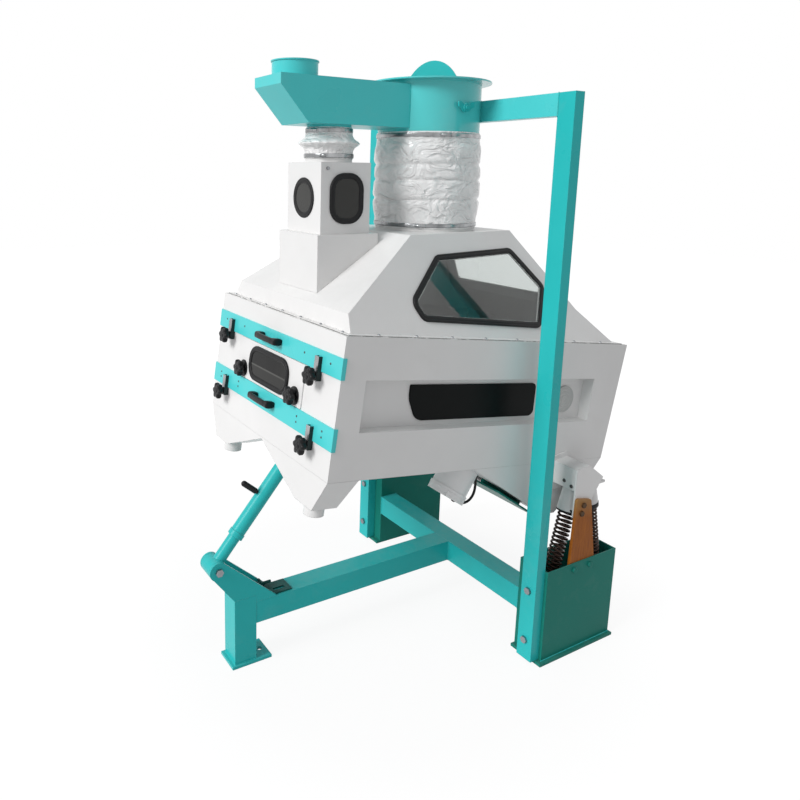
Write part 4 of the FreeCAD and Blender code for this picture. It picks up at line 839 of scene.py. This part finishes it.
def make_weld_tree(material):
    """Weld bead: overlapping drops along a line."""
    tree, start, end = new_tree("weld_bead", [("Bead Radius", "Float", 0.003), ("Pitch", "Float", 0.003)])
    path = tree.nodes.new("GeometryNodeMeshToCurve")
    link(tree, start.outputs["Geometry"], path.inputs["Mesh"])
    spaced = tree.nodes.new("GeometryNodeResampleCurve")
    spaced.mode = "LENGTH"
    link(tree, path.outputs[0], spaced.inputs["Curve"])
    link(tree, start.outputs["Pitch"], spaced.inputs["Length"])
    drop = tree.nodes.new("GeometryNodeMeshIcoSphere")
    drop.inputs["Subdivisions"].default_value = 2
    link(tree, start.outputs["Bead Radius"], drop.inputs["Radius"])
    place = tree.nodes.new("GeometryNodeInstanceOnPoints")
    link(tree, spaced.outputs[0], place.inputs["Points"])
    link(tree, drop.outputs[0], place.inputs["Instance"])
    uneven = tree.nodes.new("FunctionNodeRandomValue")
    uneven.data_type = "FLOAT"
    uneven.inputs[2].default_value = 0.85
    uneven.inputs[3].default_value = 1.1
    uneven.inputs["Seed"].default_value = 4
    link(tree, uneven.outputs[1], place.inputs["Scale"])
    end_tree(tree, place.outputs[0], end, material)
    return tree


def points_object(name, places, facings=None, edges=()):
    mesh = bpy.data.meshes.new(name)
    mesh.from_pydata([tuple(p) for p in places], list(edges), [])
    if facings:
        attribute = mesh.attributes.new("facing", "FLOAT_VECTOR", "POINT")
        for i, facing in enumerate(facings):
            attribute.data[i].vector = facing
    return mesh


def grow(name, mesh, tree, values, body):
    """Runs a geometry node tree on a mesh of points or lines and keeps the result as a plain mesh."""
    source = bpy.data.objects.new(name + "_points", mesh)
    scene.collection.objects.link(source)
    modifier = source.modifiers.new("grow", "NODES")
    modifier.node_group = tree
    for item in tree.interface.items_tree:
        if item.item_type == "SOCKET" and item.in_out == "INPUT" and item.name in values:
            modifier[item.identifier] = values[item.name]
    graph = bpy.context.evaluated_depsgraph_get()
    result = bpy.data.meshes.new_from_object(source.evaluated_get(graph))
    if not result.polygons:
        raise RuntimeError(name + " came out of its node tree without a face")
    bpy.data.objects.remove(source)
    for layer in [a.name for a in result.attributes if a.name == "facing"]:
        result.attributes.remove(result.attributes[layer])
    result.name = name
    piece = bpy.data.objects.new(name, result)
    scene.collection.objects.link(piece)
    if body:
        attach(piece, body)
    return piece


dark_screw = grained("dark_screw", "plain_steel", (0.07, 0.07, 0.07), 0.6, (0.35, 0.5), 300.0)
clamp_edge = grained("clamp_edge", "plain_steel", (0.030, 0.045, 0.045), 0.4, (0.35, 0.5), 200.0, mottle=0.3,
                     shine=0.2)
board_bolt = grained("board_bolt", "plain_steel", (0.10, 0.055, 0.025), 0.3, (0.4, 0.6), 300.0, mottle=0.4,
                     shine=0.2)
screw_tree = make_screw_tree(dark_screw)
seam_screw_tree = make_screw_tree(bolt_steel)
coil_tree = make_coil_tree(spring_steel)
teal_weld_tree = make_weld_tree(turquoise)

# Coil springs
spring_floor = 0.250
coil_r, wire_r, coil_turns = 0.024, 0.004, 20.0
spring_low, spring_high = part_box("rear_springs")
cup_low, cup_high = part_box("spring_cups")
coil_points, coil_facings = [], []
spring_x = spring_high.x - coil_r - wire_r
lean_front, lean_rear = math.radians(13.7), math.radians(-12.0)
front_spring_y = spring_low.y + (coil_r + wire_r) * math.cos(lean_front)
rear_spring_y = spring_high.y - (coil_r + wire_r) * math.cos(lean_rear)
for side in (-1, 1):
    for y, lean in ((front_spring_y, lean_front), (rear_spring_y, lean_rear)):
        axis = Vector((0, math.sin(lean), math.cos(lean)))
        coil_points.append(Vector((side * spring_x, y, spring_floor)) + axis * wire_r)
        coil_facings.append(axis)
coil_length = (spring_high.z - spring_floor) / math.cos(lean_front) - 3 * wire_r
coils = grow("coil_springs", points_object("coil_places", coil_points, coil_facings), coil_tree,
             {"Turns": coil_turns, "Coil Radius": coil_r, "Free Length": coil_length, "Wire Radius": wire_r},
             None)
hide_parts("rear_springs")
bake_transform(coils, "base", "springs", start=(0, 0, spring_floor + 0.03), end=(0, 0, spring_high.z - 0.05))

# Rubber rings on the mouths of the spring cups, and two bolts over each front cup
shelf_z, cup_length = 0.600, 0.090
ring_profile = [(0.0312, -0.008), (0.0338, -0.008), (0.0347, -0.006), (0.0347, 0.0080), (0.0339, 0.0090),
                (0.0332, 0.0090), (0.0332, -0.0002), (0.0312, -0.0002), (0.0312, -0.008)]
cup_rings = []
for point, axis in zip(coil_points, coil_facings):
    foot = point - axis * wire_r
    mouth = foot + axis * ((shelf_z - spring_floor) / axis.z - cup_length)
    cup_rings.append(lathe("cup_ring", ring_profile, Matrix.Translation(mouth) @
                           axis.to_track_quat("Z", "Y").to_matrix().to_4x4(), 48))
piece_from("cup_rubbers", joined("cup_rubbers", cup_rings), seal_rubber, "machine")
web_bolts = [Vector((side * x, 0.500 - 0.10175, z)) for side in (1, -1) for x, z in ((0.466, 0.623), (0.497, 0.613))]
grow("web_bolts", points_object("web_bolts", web_bolts, [Vector((0, -1, 0))] * 4), screw_tree,
     {"Head Radius": 0.0068, "Head Height": 0.0045, "Socket Radius": 0.0028}, "machine")

# Faces that share a node with other parts: the bolts on the boards are brown, and the bolts on the spring boxes are
# painted over; they and the foot plates' outer faces take the darker teal, a painted shade
for node, first_x, finish in (("spring_brackets", 0.5272, board_bolt),
                              ("frame_bolts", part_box("spring_box_right")[1].x, painted_shade_turquoise),
                              ("foot_plates", 0.3, painted_shade_turquoise)):
    mesh = nodes[node].data
    mesh.materials.append(finish)
    for face in mesh.polygons:
        if abs(face.center.x) > first_x - 0.0002:
            face.material_index = 1

# The clamps' edges are left as cut, darker than their polished fronts
for node in ("upper_clamps", "lower_clamps"):
    mesh = nodes[node].data
    mesh.materials.append(clamp_edge)
    for face in mesh.polygons:
        if abs(face.normal.x) > 0.7:
            face.material_index = 1

# Star knobs
knob_r, knob_neck_r = 0.030, 0.011
knob_joints = {"knob_upper_right": "upper_knob_right", "knob_upper_left": "upper_knob_left",
               "knob_lower_right": "lower_knob_right", "knob_lower_left": "lower_knob_left",
               "door_knob_right": "door_knob_r", "door_knob_left": "door_knob_l"}


def star_lobes(turn):
    return math.cos(6 * turn) - 0.25 * abs(math.sin(3 * turn)) ** 3


def knob_mesh(name, place, base_r):
    lobed = 0.13
    profile = [(0.0, 0.0, 0), (0.010, 0.0, 0), (0.0105, 0.0012, 0), (0.0120, 0.0010, 0), (0.0190, 0.0006, lobed * 0.6),
               (0.0240, 0.0018, lobed), (0.0262, 0.0045, lobed), (0.0266, 0.0095, lobed), (0.0262, 0.0150, lobed),
               (0.0235, 0.0190, lobed), (0.0180, 0.0202, lobed * 0.6), (knob_neck_r + 0.001, 0.0208, 0),
               (knob_neck_r, 0.0225, 0), (knob_neck_r, 0.0270, 0), (base_r * 0.96, 0.0272, 0), (base_r, 0.0280, 0),
               (base_r, 0.0296, 0), (base_r * 0.97, 0.0300, 0), (0.0, 0.0300, 0)]
    return lathe(name, profile, place, 72, star_lobes)


for node, body in knob_joints.items():
    low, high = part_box(node)
    centre = middle(node)
    front_middle = Vector((centre.x, centre.y, centre.z))
    # the knob's own axis runs back into the body, and its face looks forward
    length = (high.y - low.y - 2 * knob_r * abs(body_back.z)) / body_back.y
    face = front_middle - body_back * (length / 2)
    turned = Matrix(((1, 0, 0, face.x), (0, -body_up.y, body_back.y, face.y), (0, -body_up.z, body_back.z, face.z),
                     (0, 0, 0, 1)))
    is_door = node.startswith("door")
    star = piece_from(node + "_star", knob_mesh(node, turned, 0.0290 if is_door else 0.0135), knob_plastic, body)
    pin_profile = [(0.0, 0.0301), (0.005, 0.0301), (0.005, length - 0.001), (0.004, length), (0.0, length)]
    piece_from(node + "_pin", lathe(node + "_pin", pin_profile, turned, 24), bolt_steel, body)
    insert_profile = [(0.0, 0.0006), (0.0045, 0.0006), (0.0062, 0.0002), (0.0070, -0.0003), (0.0082, -0.0003),
                      (0.0090, 0.0004), (0.0090, 0.0012), (0.0, 0.0012)]
    piece_from(node + "_cap", lathe(node + "_cap", insert_profile, turned, 32), knob_plastic, body)
    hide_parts(node)

# Pull handles
handle_half, handle_block, handle_depth, handle_height = 0.069, 0.024, 0.036, 0.024


def handle_mesh(name, centre):
    """Bow handle: two deep feet and a slimmer grip between them."""
    stations = 45
    section = 10
    verts = []
    for i in range(stations):
        t = -1 + 2 * i / (stations - 1)
        x = t * handle_half
        inner = handle_half - handle_block
        foot = min(max((abs(x) - inner) / 0.007, 0.0), 1.0)
        foot = foot * foot * (3 - 2 * foot)
        end = min((handle_half - abs(x)) / 0.003, 1.0)
        swell = math.sqrt(max(1 - (1 - end) ** 2, 0.0))
        back = -handle_depth + 0.013 + foot * (handle_depth - 0.013)
        front = -handle_depth * (0.94 + 0.06 * math.cos(t * math.pi / 2)) * (0.95 + 0.05 * swell)
        half = (0.0100 + foot * (handle_height / 2 - 0.0100)) * (0.92 + 0.08 * swell)
        for j in range(section):
            turn = 2 * math.pi * (j + 0.5) / section
            cy = math.copysign(abs(math.cos(turn)) ** 0.45, math.cos(turn))
            cz = math.copysign(abs(math.sin(turn)) ** 0.45, math.sin(turn))
            y = (front + back) / 2 + (back - front) / 2 * cy
            verts.append(centre + Vector((x, 0, 0)) + body_back * y + body_up * (half * cz))
    faces = grid_faces(stations, section)
    faces.append(tuple(range(section)))
    faces.append(tuple(range((stations - 1) * section, stations * section))[::-1])
    return mesh_from(name, verts, faces)


bar_front = -0.431
handle_rise = {"upper": (1.036 + 1.098) / 2 + 0.003, "lower": (0.828 + 0.895) / 2 + 0.003}
for name in ("upper", "lower"):
    handle = piece_from(name + "_pull_handle", handle_mesh(name, level(0, bar_front, handle_rise[name])),
                        knob_plastic, name + "_drawer")
    finish_piece(handle, subdivide=1)
    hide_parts(name + "_handle")

# Screws on the bars and round the hood's flange
bar_facing = -body_back
for name, low, high in (("upper", 1.036, 1.098), ("lower", 0.828, 0.895)):
    spots = []
    for x in (-0.358, -0.210, 0.210, 0.358):
        mid = (low + high) / 2
        if name == "upper":
            spots.append(level(x, bar_front, mid + 0.003))
        else:
            spots += [level(x, bar_front, mid + 0.010), level(x, bar_front, mid - 0.008)]
    grow(name + "_bar_screws", points_object(name, spots, [bar_facing] * len(spots)), screw_tree,
         {"Head Radius": 0.0036, "Head Height": 0.0016, "Socket Radius": 0.0015}, name + "_drawer")

hood_half, hood_front, hood_rear, hood_flange, seam_height = 0.385, -0.395, 0.762, 0.020, 1.163
seam_mid = hood_flange / 2 + 0.001
seam = []
for i in range(7):
    x = (i - 3) * 0.12
    seam += [level(x, hood_front - seam_mid, seam_height), level(x, hood_rear + seam_mid, seam_height)]
for i in range(8):
    y = hood_front + 0.09 + i * 0.14
    seam += [level(hood_half + seam_mid, y, seam_height), level(-hood_half - seam_mid, y, seam_height)]
seam_screws = grow("seam_screws", points_object("seam", seam, [body_up] * len(seam)), seam_screw_tree,
                   {"Head Radius": 0.005, "Head Height": 0.004, "Socket Radius": 0.002}, "machine")
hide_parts("body_screws")

# Gasket between the two flanges, standing a little proud of their edges
gasket_out, gasket_in = 0.0008, 0.004
gasket_x, gasket_front, gasket_rear = hood_half + hood_flange, hood_front - hood_flange, hood_rear + hood_flange


def loop_at(out, z):
    return [level(x, y, z) for x, y in ((-gasket_x - out, gasket_front - out), (gasket_x + out, gasket_front - out),
                                        (gasket_x + out, gasket_rear + out), (-gasket_x - out, gasket_rear + out))]


gasket_rings = loop_at(gasket_out, 1.1586) + loop_at(gasket_out, 1.1612) + loop_at(-gasket_in, 1.1612) + loop_at(
    -gasket_in, 1.1586) + loop_at(gasket_out, 1.1586)
piece_from("flange_gasket", mesh_from("flange_gasket", gasket_rings, grid_faces(5, 4)), gasket_strip, "machine", False)


# Window seals and panes
seal_width = 0.014
seal_section = [(0.0, 0.0), (0.0, 0.0045), (0.0012, 0.0066), (0.0034, 0.0078), (0.0056, 0.0072), (0.0066, 0.0060),
                (0.0076, 0.0072), (0.0102, 0.0077), (0.0140, 0.0070), (0.0170, 0.0056), (0.0178, 0.0044),
                (0.0172, 0.0041), (0.0139, 0.0041), (0.0139, 0.0002)]
pane_height = 0.004


def hood_side_place(side):
    slope = 0.53
    out = (Vector((side, 0, 0)) + body_up * slope).normalized()

    def place(point, height):
        x = side * (hood_half - slope * (point.y - 1.160))
        return level(x, point.x, point.y) + out * height
    return place


hood_corners = [(-0.020, 1.403, 0.030), (0.325, 1.454, 0.034), (0.457, 1.336, 0.026), (0.392, 1.199, 0.030),
                (-0.120, 1.203, 0.034), (-0.157, 1.258, 0.034)]
hood_outline = rounded_outline(hood_corners)
seals, clear_panes = [], []
for side in (1, -1):
    place = hood_side_place(side)
    seals.append(seal_ring("hood_seal", hood_outline, place, seal_section))
    clear_panes.append(slab("hood_pane", inset(hood_outline, seal_width), place, 0.0, pane_height))

rear_out = (body_back * 0.7013 + body_up * 0.7128).normalized()


def hood_rear_place(point, height):
    """A place on the hood's rear slope: across the hood, and up the slope from the bend at its foot."""
    return level(point.x, 0.600 - 0.7128 * point.y, 1.268 + 0.7013 * point.y) + rear_out * height


rear_outline = rounded_outline([(-0.2811, 0.0314, 0.030), (0.2811, 0.0314, 0.030), (0.1857, 0.288, 0.030),
                                (-0.1857, 0.288, 0.030)])
seals.append(seal_ring("hood_rear_seal", rear_outline, hood_rear_place, seal_section))
clear_panes.append(slab("hood_rear_pane", inset(rear_outline, seal_width), hood_rear_place, 0.0, pane_height))

box_low, box_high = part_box("inlet_box")
inlet_mid_y = middle("inlet_box").y
inlet_half = 0.105
side_window_z, side_w, side_h, side_r = 1.575, 0.125, 0.159, 0.052
side_corners = [(inlet_mid_y + 0.002 + sx * side_w / 2, side_window_z + sz * side_h / 2, side_r)
                for sx, sz in ((-1, -1), (1, -1), (1, 1), (-1, 1))]
side_outline = rounded_outline(side_corners)
round_outline = [Vector((0.064 * math.cos(a * math.pi / 36), side_window_z + 0.064 * math.sin(a * math.pi / 36)))
                 for a in range(72)]


def inlet_side(point, height):
    return Vector((inlet_half + height, point.x, point.y))


def inlet_front(point, height):
    return Vector((point.x, box_low.y - height * 0.55, point.y))


seals.append(seal_ring("inlet_side_seal", side_outline, inlet_side, seal_section))
seals.append(seal_ring("inlet_front_seal", round_outline, inlet_front, seal_section))
dark_panes = [slab("inlet_side_pane", inset(side_outline, seal_width), inlet_side, 0.0, pane_height),
              slab("inlet_front_pane", inset(round_outline, seal_width), inlet_front, 0.0, pane_height)]
rubber_frames = piece_from("window_rubbers", joined("window_rubbers", seals), seal_rubber, "machine")
hood_windows = piece_from("hood_window_panes", joined("hood_window_panes", clear_panes), hood_glass, "machine", False)
inlet_windows = piece_from("inlet_window_panes", joined("inlet_window_panes", dark_panes), smoked_glass, "machine",
                           False)
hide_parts("window_seals")
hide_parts("window_panes")

door_mid, door_half_w, door_half_h = (1.036 + 0.895) / 2, 0.137, 0.059
door_window_r = 0.050
door_outline = rounded_outline([(-door_half_w, door_mid - door_half_h, door_window_r),
                                (door_half_w, door_mid - door_half_h, door_window_r),
                                (door_half_w, door_mid + door_half_h, door_window_r),
                                (-door_half_w, door_mid + door_half_h, door_window_r)])


def door_place(point, height):
    return level(point.x, bar_front - height, point.y)


door_rubber = piece_from("door_window_rubber", seal_ring("door_rubber", door_outline, door_place, seal_section),
                         seal_rubber, "door")
door_pane = piece_from("door_window_pane", slab("door_pane", inset(door_outline, seal_width), door_place, 0.0,
                                                pane_height), door_glass, "door", False)
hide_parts("door_window")

# Long dark side panels on the recess floors, and the round port covers
recess_floor = 0.370
panel_corners = [(-0.143, 1.010, 0.005), (0.406, 1.010, 0.016), (0.413, 0.896, 0.022), (-0.105, 0.896, 0.042),
                 (-0.1415, 0.966, 0.075)]
panel_outline = rounded_outline(panel_corners)
panels, port_covers = [], []
port_y, port_z = 0.561, 0.951
port_profile = [(0.0, 0.004), (0.008, 0.004), (0.010, 0.006), (0.013, 0.006), (0.015, 0.0035), (0.021, 0.0035),
                (0.023, 0.006), (0.026, 0.006), (0.028, 0.0035), (0.033, 0.0035), (0.035, 0.006), (0.038, 0.006),
                (0.040, 0.0035), (0.044, 0.0035), (0.045, 0.0060), (0.0475, 0.0060), (0.048, 0.0050), (0.048, 0.0),
                (0.0, 0.0)]
for side in (1, -1):
    def panel_place(point, height, side=side):
        return level(side * (recess_floor + height), point.x, point.y)
    panels.append(slab("side_panel", panel_outline, panel_place, 0.0, 0.006, 0.0012))
    spot = level(side * recess_floor, port_y, port_z)
    aim = Matrix(((0, 0, side, spot.x), (body_back.y, body_up.y, 0, spot.y), (body_back.z, body_up.z, 0, spot.z),
                  (0, 0, 0, 1)))
    port_covers.append(lathe("port_cover", port_profile, aim, 64))
side_panels = piece_from("side_shade_panels", joined("side_shade_panels", panels), shade_panel, "machine", False)
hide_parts("side_windows")
ports = piece_from("port_covers", joined("port_covers", port_covers), port_enamel, "machine")
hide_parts("port_discs")


# Cloth sleeves, crumpled between their two bands
def crumple(angle, height, seed, scale):
    """Sharp folds of crushed cloth, from -1 to 1, the same all the way round a tube."""
    around = Vector((math.cos(angle), math.sin(angle), 0)) * scale
    place = Vector((around.x, around.y, height * scale * 4.2 + seed))
    bend = noise.noise(place * 0.9) * 0.7
    place = place + Vector((bend, -bend, bend))
    folds = 0.0
    size = 1.0
    for octave in range(3):
        folds += size * (1 - 2 * abs(noise.noise(place)))
        place = place * 2.07 + Vector((3.1, 1.7, 5.3))
        size *= 0.5
    return folds / 1.75 - 0.45


def sleeve_piece(name, node, y, low_r, high_r, low_z, high_z, folds, bulge, depth, seed):
    around, rings = 128, 72
    length = high_z - low_z
    cuff = 0.022
    verts, uvs = [], []
    for i in range(rings):
        share = i / (rings - 1)
        z = low_z + share * length
        pipe = low_r + share * (high_r - low_r)
        from_end = min(z - low_z, high_z - z)
        free = min(max((from_end - cuff) / 0.035, 0.0), 1.0)
        free = free * free * (3 - 2 * free)
        for j in range(around):
            turn = 2 * math.pi * j / around
            sag = 0.004 * noise.noise(Vector((math.cos(turn) * 1.5, math.sin(turn) * 1.5, seed)))
            crease = 0.0
            for at, width, deep in folds:
                here = (z - low_z - at * length - sag) / width
                crease -= deep * math.exp(-here * here)
            pleat = 0.0011 * math.cos(38 * turn + 1.5 * math.sin(3 * turn)) * math.exp(-max(from_end - cuff, 0) / 0.018)
            if from_end < cuff * 0.75:
                pleat *= 0.35
            r = pipe + 0.0016 + pleat + free * (bulge * (1 - (2 * share - 1) ** 4) + crease
                                                + depth * crumple(turn, z, seed, 2.6))
            r = max(r, pipe + 0.0008)
            verts.append(Vector((r * math.cos(turn), y + r * math.sin(turn), z)))
            uvs.append((j / around, share * length / (2 * math.pi * pipe) * 3))
    mesh = bpy.data.meshes.new(name)
    mesh.from_pydata([tuple(v) for v in verts], [], grid_faces(rings, around))
    layer = mesh.uv_layers.new(name="UVMap")
    for face in mesh.polygons:
        wraps = any(v % around == 0 for v in face.vertices) and any(v % around == around - 1 for v in face.vertices)
        for corner in face.loop_indices:
            vertex = mesh.loops[corner].vertex_index
            u, v = uvs[vertex]
            if wraps and vertex % around == 0:
                u += 1.0
            layer.data[corner].uv = (u * 3, v)
    piece = piece_from(name, mesh, coated_cloth, None)
    wall = piece.modifiers.new("cloth_wall", "SOLIDIFY")
    wall.thickness = 0.0009
    wall.offset = 1.0
    finish_piece(piece, subdivide=1)
    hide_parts(node)
    return piece


big_low, big_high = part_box("big_sleeve")
small_low, small_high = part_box("small_sleeve")
duct_y, feed_y = middle("big_sleeve").y, middle("small_sleeve").y
duct_r, inlet_r, spout_r = 0.175, 0.076, 0.072
big_folds = ((0.30, 0.006, 0.0060), (0.505, 0.006, 0.0065), (0.665, 0.007, 0.0065), (0.15, 0.020, 0.002))
small_folds = ((0.36, 0.006, 0.007), (0.66, 0.006, 0.007))
big_sleeve = sleeve_piece("air_sleeve", "big_sleeve", duct_y, duct_r, duct_r, big_low.z, big_high.z,
                          big_folds, 0.0065, 0.0062, 3.7)
small_sleeve = sleeve_piece("feed_sleeve", "small_sleeve", feed_y, inlet_r, spout_r, small_low.z, small_high.z,
                            small_folds, 0.0260, 0.0070, 9.2)
for sleeve, top, bottom in ((big_sleeve, big_high, big_low), (small_sleeve, small_high, small_low)):
    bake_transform(sleeve, "base", "springs", start=(0, 0, top.z - 0.025), end=(0, 0, bottom.z + 0.025))


# Worm-drive bands round the sleeve ends
def band_mesh(name, y, radius, z, height, turn):
    """Thin strap with rolled edges that laps over itself, and the screw housing on the lap."""
    lift = 0.0016
    profile = [(0.0, 0.0), (0.0009, 0.0006), (0.0011, 0.003), (0.0011, height - 0.003), (0.0009, height - 0.0006),
               (0.0, height), (-0.0004, height - 0.001), (-0.0004, 0.001)]
    steps = 150
    verts = []
    for i in range(steps + 1):
        angle = turn + (2 * math.pi + 0.30) * i / steps
        over = max((i / steps - 0.90) / 0.10, 0.0)
        for r, h in profile:
            rr = radius + r + lift * min(over * 2, 1.0)
            verts.append(Vector((rr * math.cos(angle), y + rr * math.sin(angle), z + h)))
    around = len(profile)
    faces = grid_faces(steps + 1, around)
    faces.append(tuple(range(around)))
    faces.append(tuple(range(steps * around, (steps + 1) * around))[::-1])
    strap = mesh_from(name, verts, faces)
    angle = turn + 0.15
    out = Vector((math.cos(angle), math.sin(angle), 0))
    along = Vector((-math.sin(angle), math.cos(angle), 0))
    centre = Vector((0, y, z + height / 2)) + out * (radius + 0.0050)
    frame_m = Matrix(((along.x, out.x, 0, centre.x), (along.y, out.y, 0, centre.y), (0, 0, 1, centre.z),
                      (0, 0, 0, 1)))
    turned = frame_m @ Matrix.Rotation(math.radians(90), 4, "Y")
    barrel = [(0.0, -0.013), (0.0042, -0.013), (0.0046, -0.0125), (0.0046, -0.009), (0.0036, -0.0085),
              (0.0036, -0.0075), (0.0052, -0.0070), (0.0052, 0.0070), (0.0045, 0.0078), (0.0, 0.0078)]
    return joined(name, [strap, lathe(name + "_screw", barrel, turned, 20)])


band_high = 0.013
cloth_out = 0.0040
upper_meshes = [band_mesh("air_band", duct_y, duct_r + cloth_out, big_high.z - band_high - 0.005, band_high, -0.55),
                band_mesh("feed_band", feed_y, spout_r + cloth_out, small_high.z - band_high - 0.003, band_high, -1.3)]
lower_meshes = [band_mesh("air_band", duct_y, duct_r + cloth_out, big_low.z + 0.005, band_high, -0.95),
                band_mesh("feed_band", feed_y, inlet_r + cloth_out, small_low.z + 0.003, band_high, -0.9)]
upper_bands = piece_from("upper_sleeve_bands", joined("upper_sleeve_bands", upper_meshes), band_steel, "base")
lower_bands = piece_from("lower_sleeve_bands", joined("lower_sleeve_bands", lower_meshes), band_steel, "machine")
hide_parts("upper_bands")
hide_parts("lower_bands")


# Varnished boards beside the springs
board_outline = rounded_outline([(0.38525, 0.285, 0.004), (0.52025, 0.285, 0.004), (0.51025, 0.345, 0.010),
                                 (0.47125, 0.562, 0.012), (0.39725, 0.578, 0.010)], 5)
boards = []
for side in (1, -1):
    def board_place(point, height, side=side):
        return Vector((side * (0.517 + height), point.x, point.y))
    boards.append(slab("board", board_outline, board_place, 0.0, 0.010, 0.0008))
board_piece = piece_from("spring_boards", joined("spring_boards", boards), varnished_board, None, False)
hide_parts("support_boards")
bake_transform(board_piece, "base", "springs", start=(0, 0, 0.34), end=(0, 0, 0.51))

# Lead of the right motor. Its last points stand up to 17 mm off the solid's route, which stops short of the motor
lead_route = [(0.300, 0.2435, 0.644), (0.300, 0.248, 0.616), (0.300, 0.2485, 0.587), (0.300, 0.24243, 0.56172),
              (0.300, 0.22833, 0.54549), (0.300, 0.20826, 0.53779), (0.300, 0.18693, 0.54041), (0.300, 0.152108, 0.564797)]
lead_curve = bpy.data.curves.new("motor_lead_line", "CURVE")
lead_curve.dimensions = "3D"
lead_curve.bevel_depth = 0.0045
lead_curve.bevel_resolution = 6
lead_curve.resolution_u = 12
lead_curve.use_fill_caps = True
spline = lead_curve.splines.new("NURBS")
spline.points.add(len(lead_route) - 1)
for i, (x, y, z) in enumerate(lead_route):
    spline.points[i].co = (x, y - 0.10175, z, 1)
spline.use_endpoint_u = True
spline.order_u = 3
lead_curve.materials.append(lead_rubber)
motor_cord = bpy.data.objects.new("motor_cord", lead_curve)
scene.collection.objects.link(motor_cord)
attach(motor_cord, "machine")
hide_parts("motor_lead")

# Rubber strain reliefs where the lead leaves the body and enters the motor
relief_profile = [(0.0, -0.002), (0.0105, -0.002), (0.0105, 0.004), (0.0085, 0.0055), (0.0078, 0.010), (0.0066, 0.018),
                  (0.0054, 0.025), (0.0048, 0.0265), (0.0, 0.0265)]
reliefs = []
for at, towards in (((0.300, 0.14175, 0.644), (0, 0.146, -0.989)), ((0.300, 0.050358, 0.564797), (0, 0.819, -0.574))):
    turned = Vector(towards).to_track_quat("Z", "Y").to_matrix().to_4x4()
    reliefs.append(lathe("lead_relief", relief_profile, Matrix.Translation(at) @ turned, 28))
lead_reliefs = piece_from("lead_reliefs", joined("lead_reliefs", reliefs), lead_rubber, "machine")


# Weld beads along the frame's joints
def weld(name, lines, body, radius=0.0028):
    verts, edges = [], []
    for line in lines:
        first = len(verts)
        verts += [Vector(p) for p in line]
        edges += [(first + i, first + i + 1) for i in range(len(line) - 1)]
    grow(name, points_object(name, verts, None, edges), teal_weld_tree,
         {"Bead Radius": radius, "Pitch": radius * 0.9}, body)


leg_low, leg_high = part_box("front_leg")
beam_low, beam_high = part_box("long_beam")
cross_low, cross_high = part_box("rear_crossbeam")
right_box_low, right_box_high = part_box("spring_box_right")
post_low, post_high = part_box("post_right")
arm_low, arm_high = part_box("top_arms")
chute_low, chute_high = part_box("feed_chute")
duct_low, duct_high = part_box("duct")
chute_meets = duct_y - math.sqrt(duct_r ** 2 - chute_high.x ** 2)
arm_meets = math.sqrt(duct_r ** 2 - (arm_low.y - duct_y) ** 2)
frame_welds = [
    [(leg_low.x, leg_low.y, leg_low.z), (leg_high.x, leg_low.y, leg_low.z), (leg_high.x, leg_high.y, leg_low.z),
     (leg_low.x, leg_high.y, leg_low.z), (leg_low.x, leg_low.y, leg_low.z)],
    [(beam_low.x, beam_high.y, beam_low.z), (beam_low.x, beam_high.y, beam_high.z)],
    [(beam_high.x, beam_high.y, beam_low.z), (beam_high.x, beam_high.y, beam_high.z)],
]
for side in (1, -1):
    frame_welds += [
        [(side * right_box_low.x, cross_low.y, cross_low.z), (side * right_box_low.x, cross_low.y, cross_high.z),
         (side * right_box_low.x, cross_high.y, cross_high.z)],
        [(side * right_box_high.x, right_box_low.y, 0.010), (side * right_box_high.x, right_box_high.y, 0.010),
         (side * right_box_low.x, right_box_high.y, 0.010)],
        [(side * post_low.x, arm_low.y, arm_low.z), (side * post_low.x, arm_low.y, arm_high.z)],
        [(side * chute_high.x, chute_meets, chute_low.z + 0.042), (side * chute_high.x, chute_meets, 1.940)],
        [(side * arm_meets, arm_low.y, arm_low.z), (side * arm_meets, arm_low.y, arm_high.z)],
    ]
weld("frame_welds", frame_welds, "base", 0.0022)
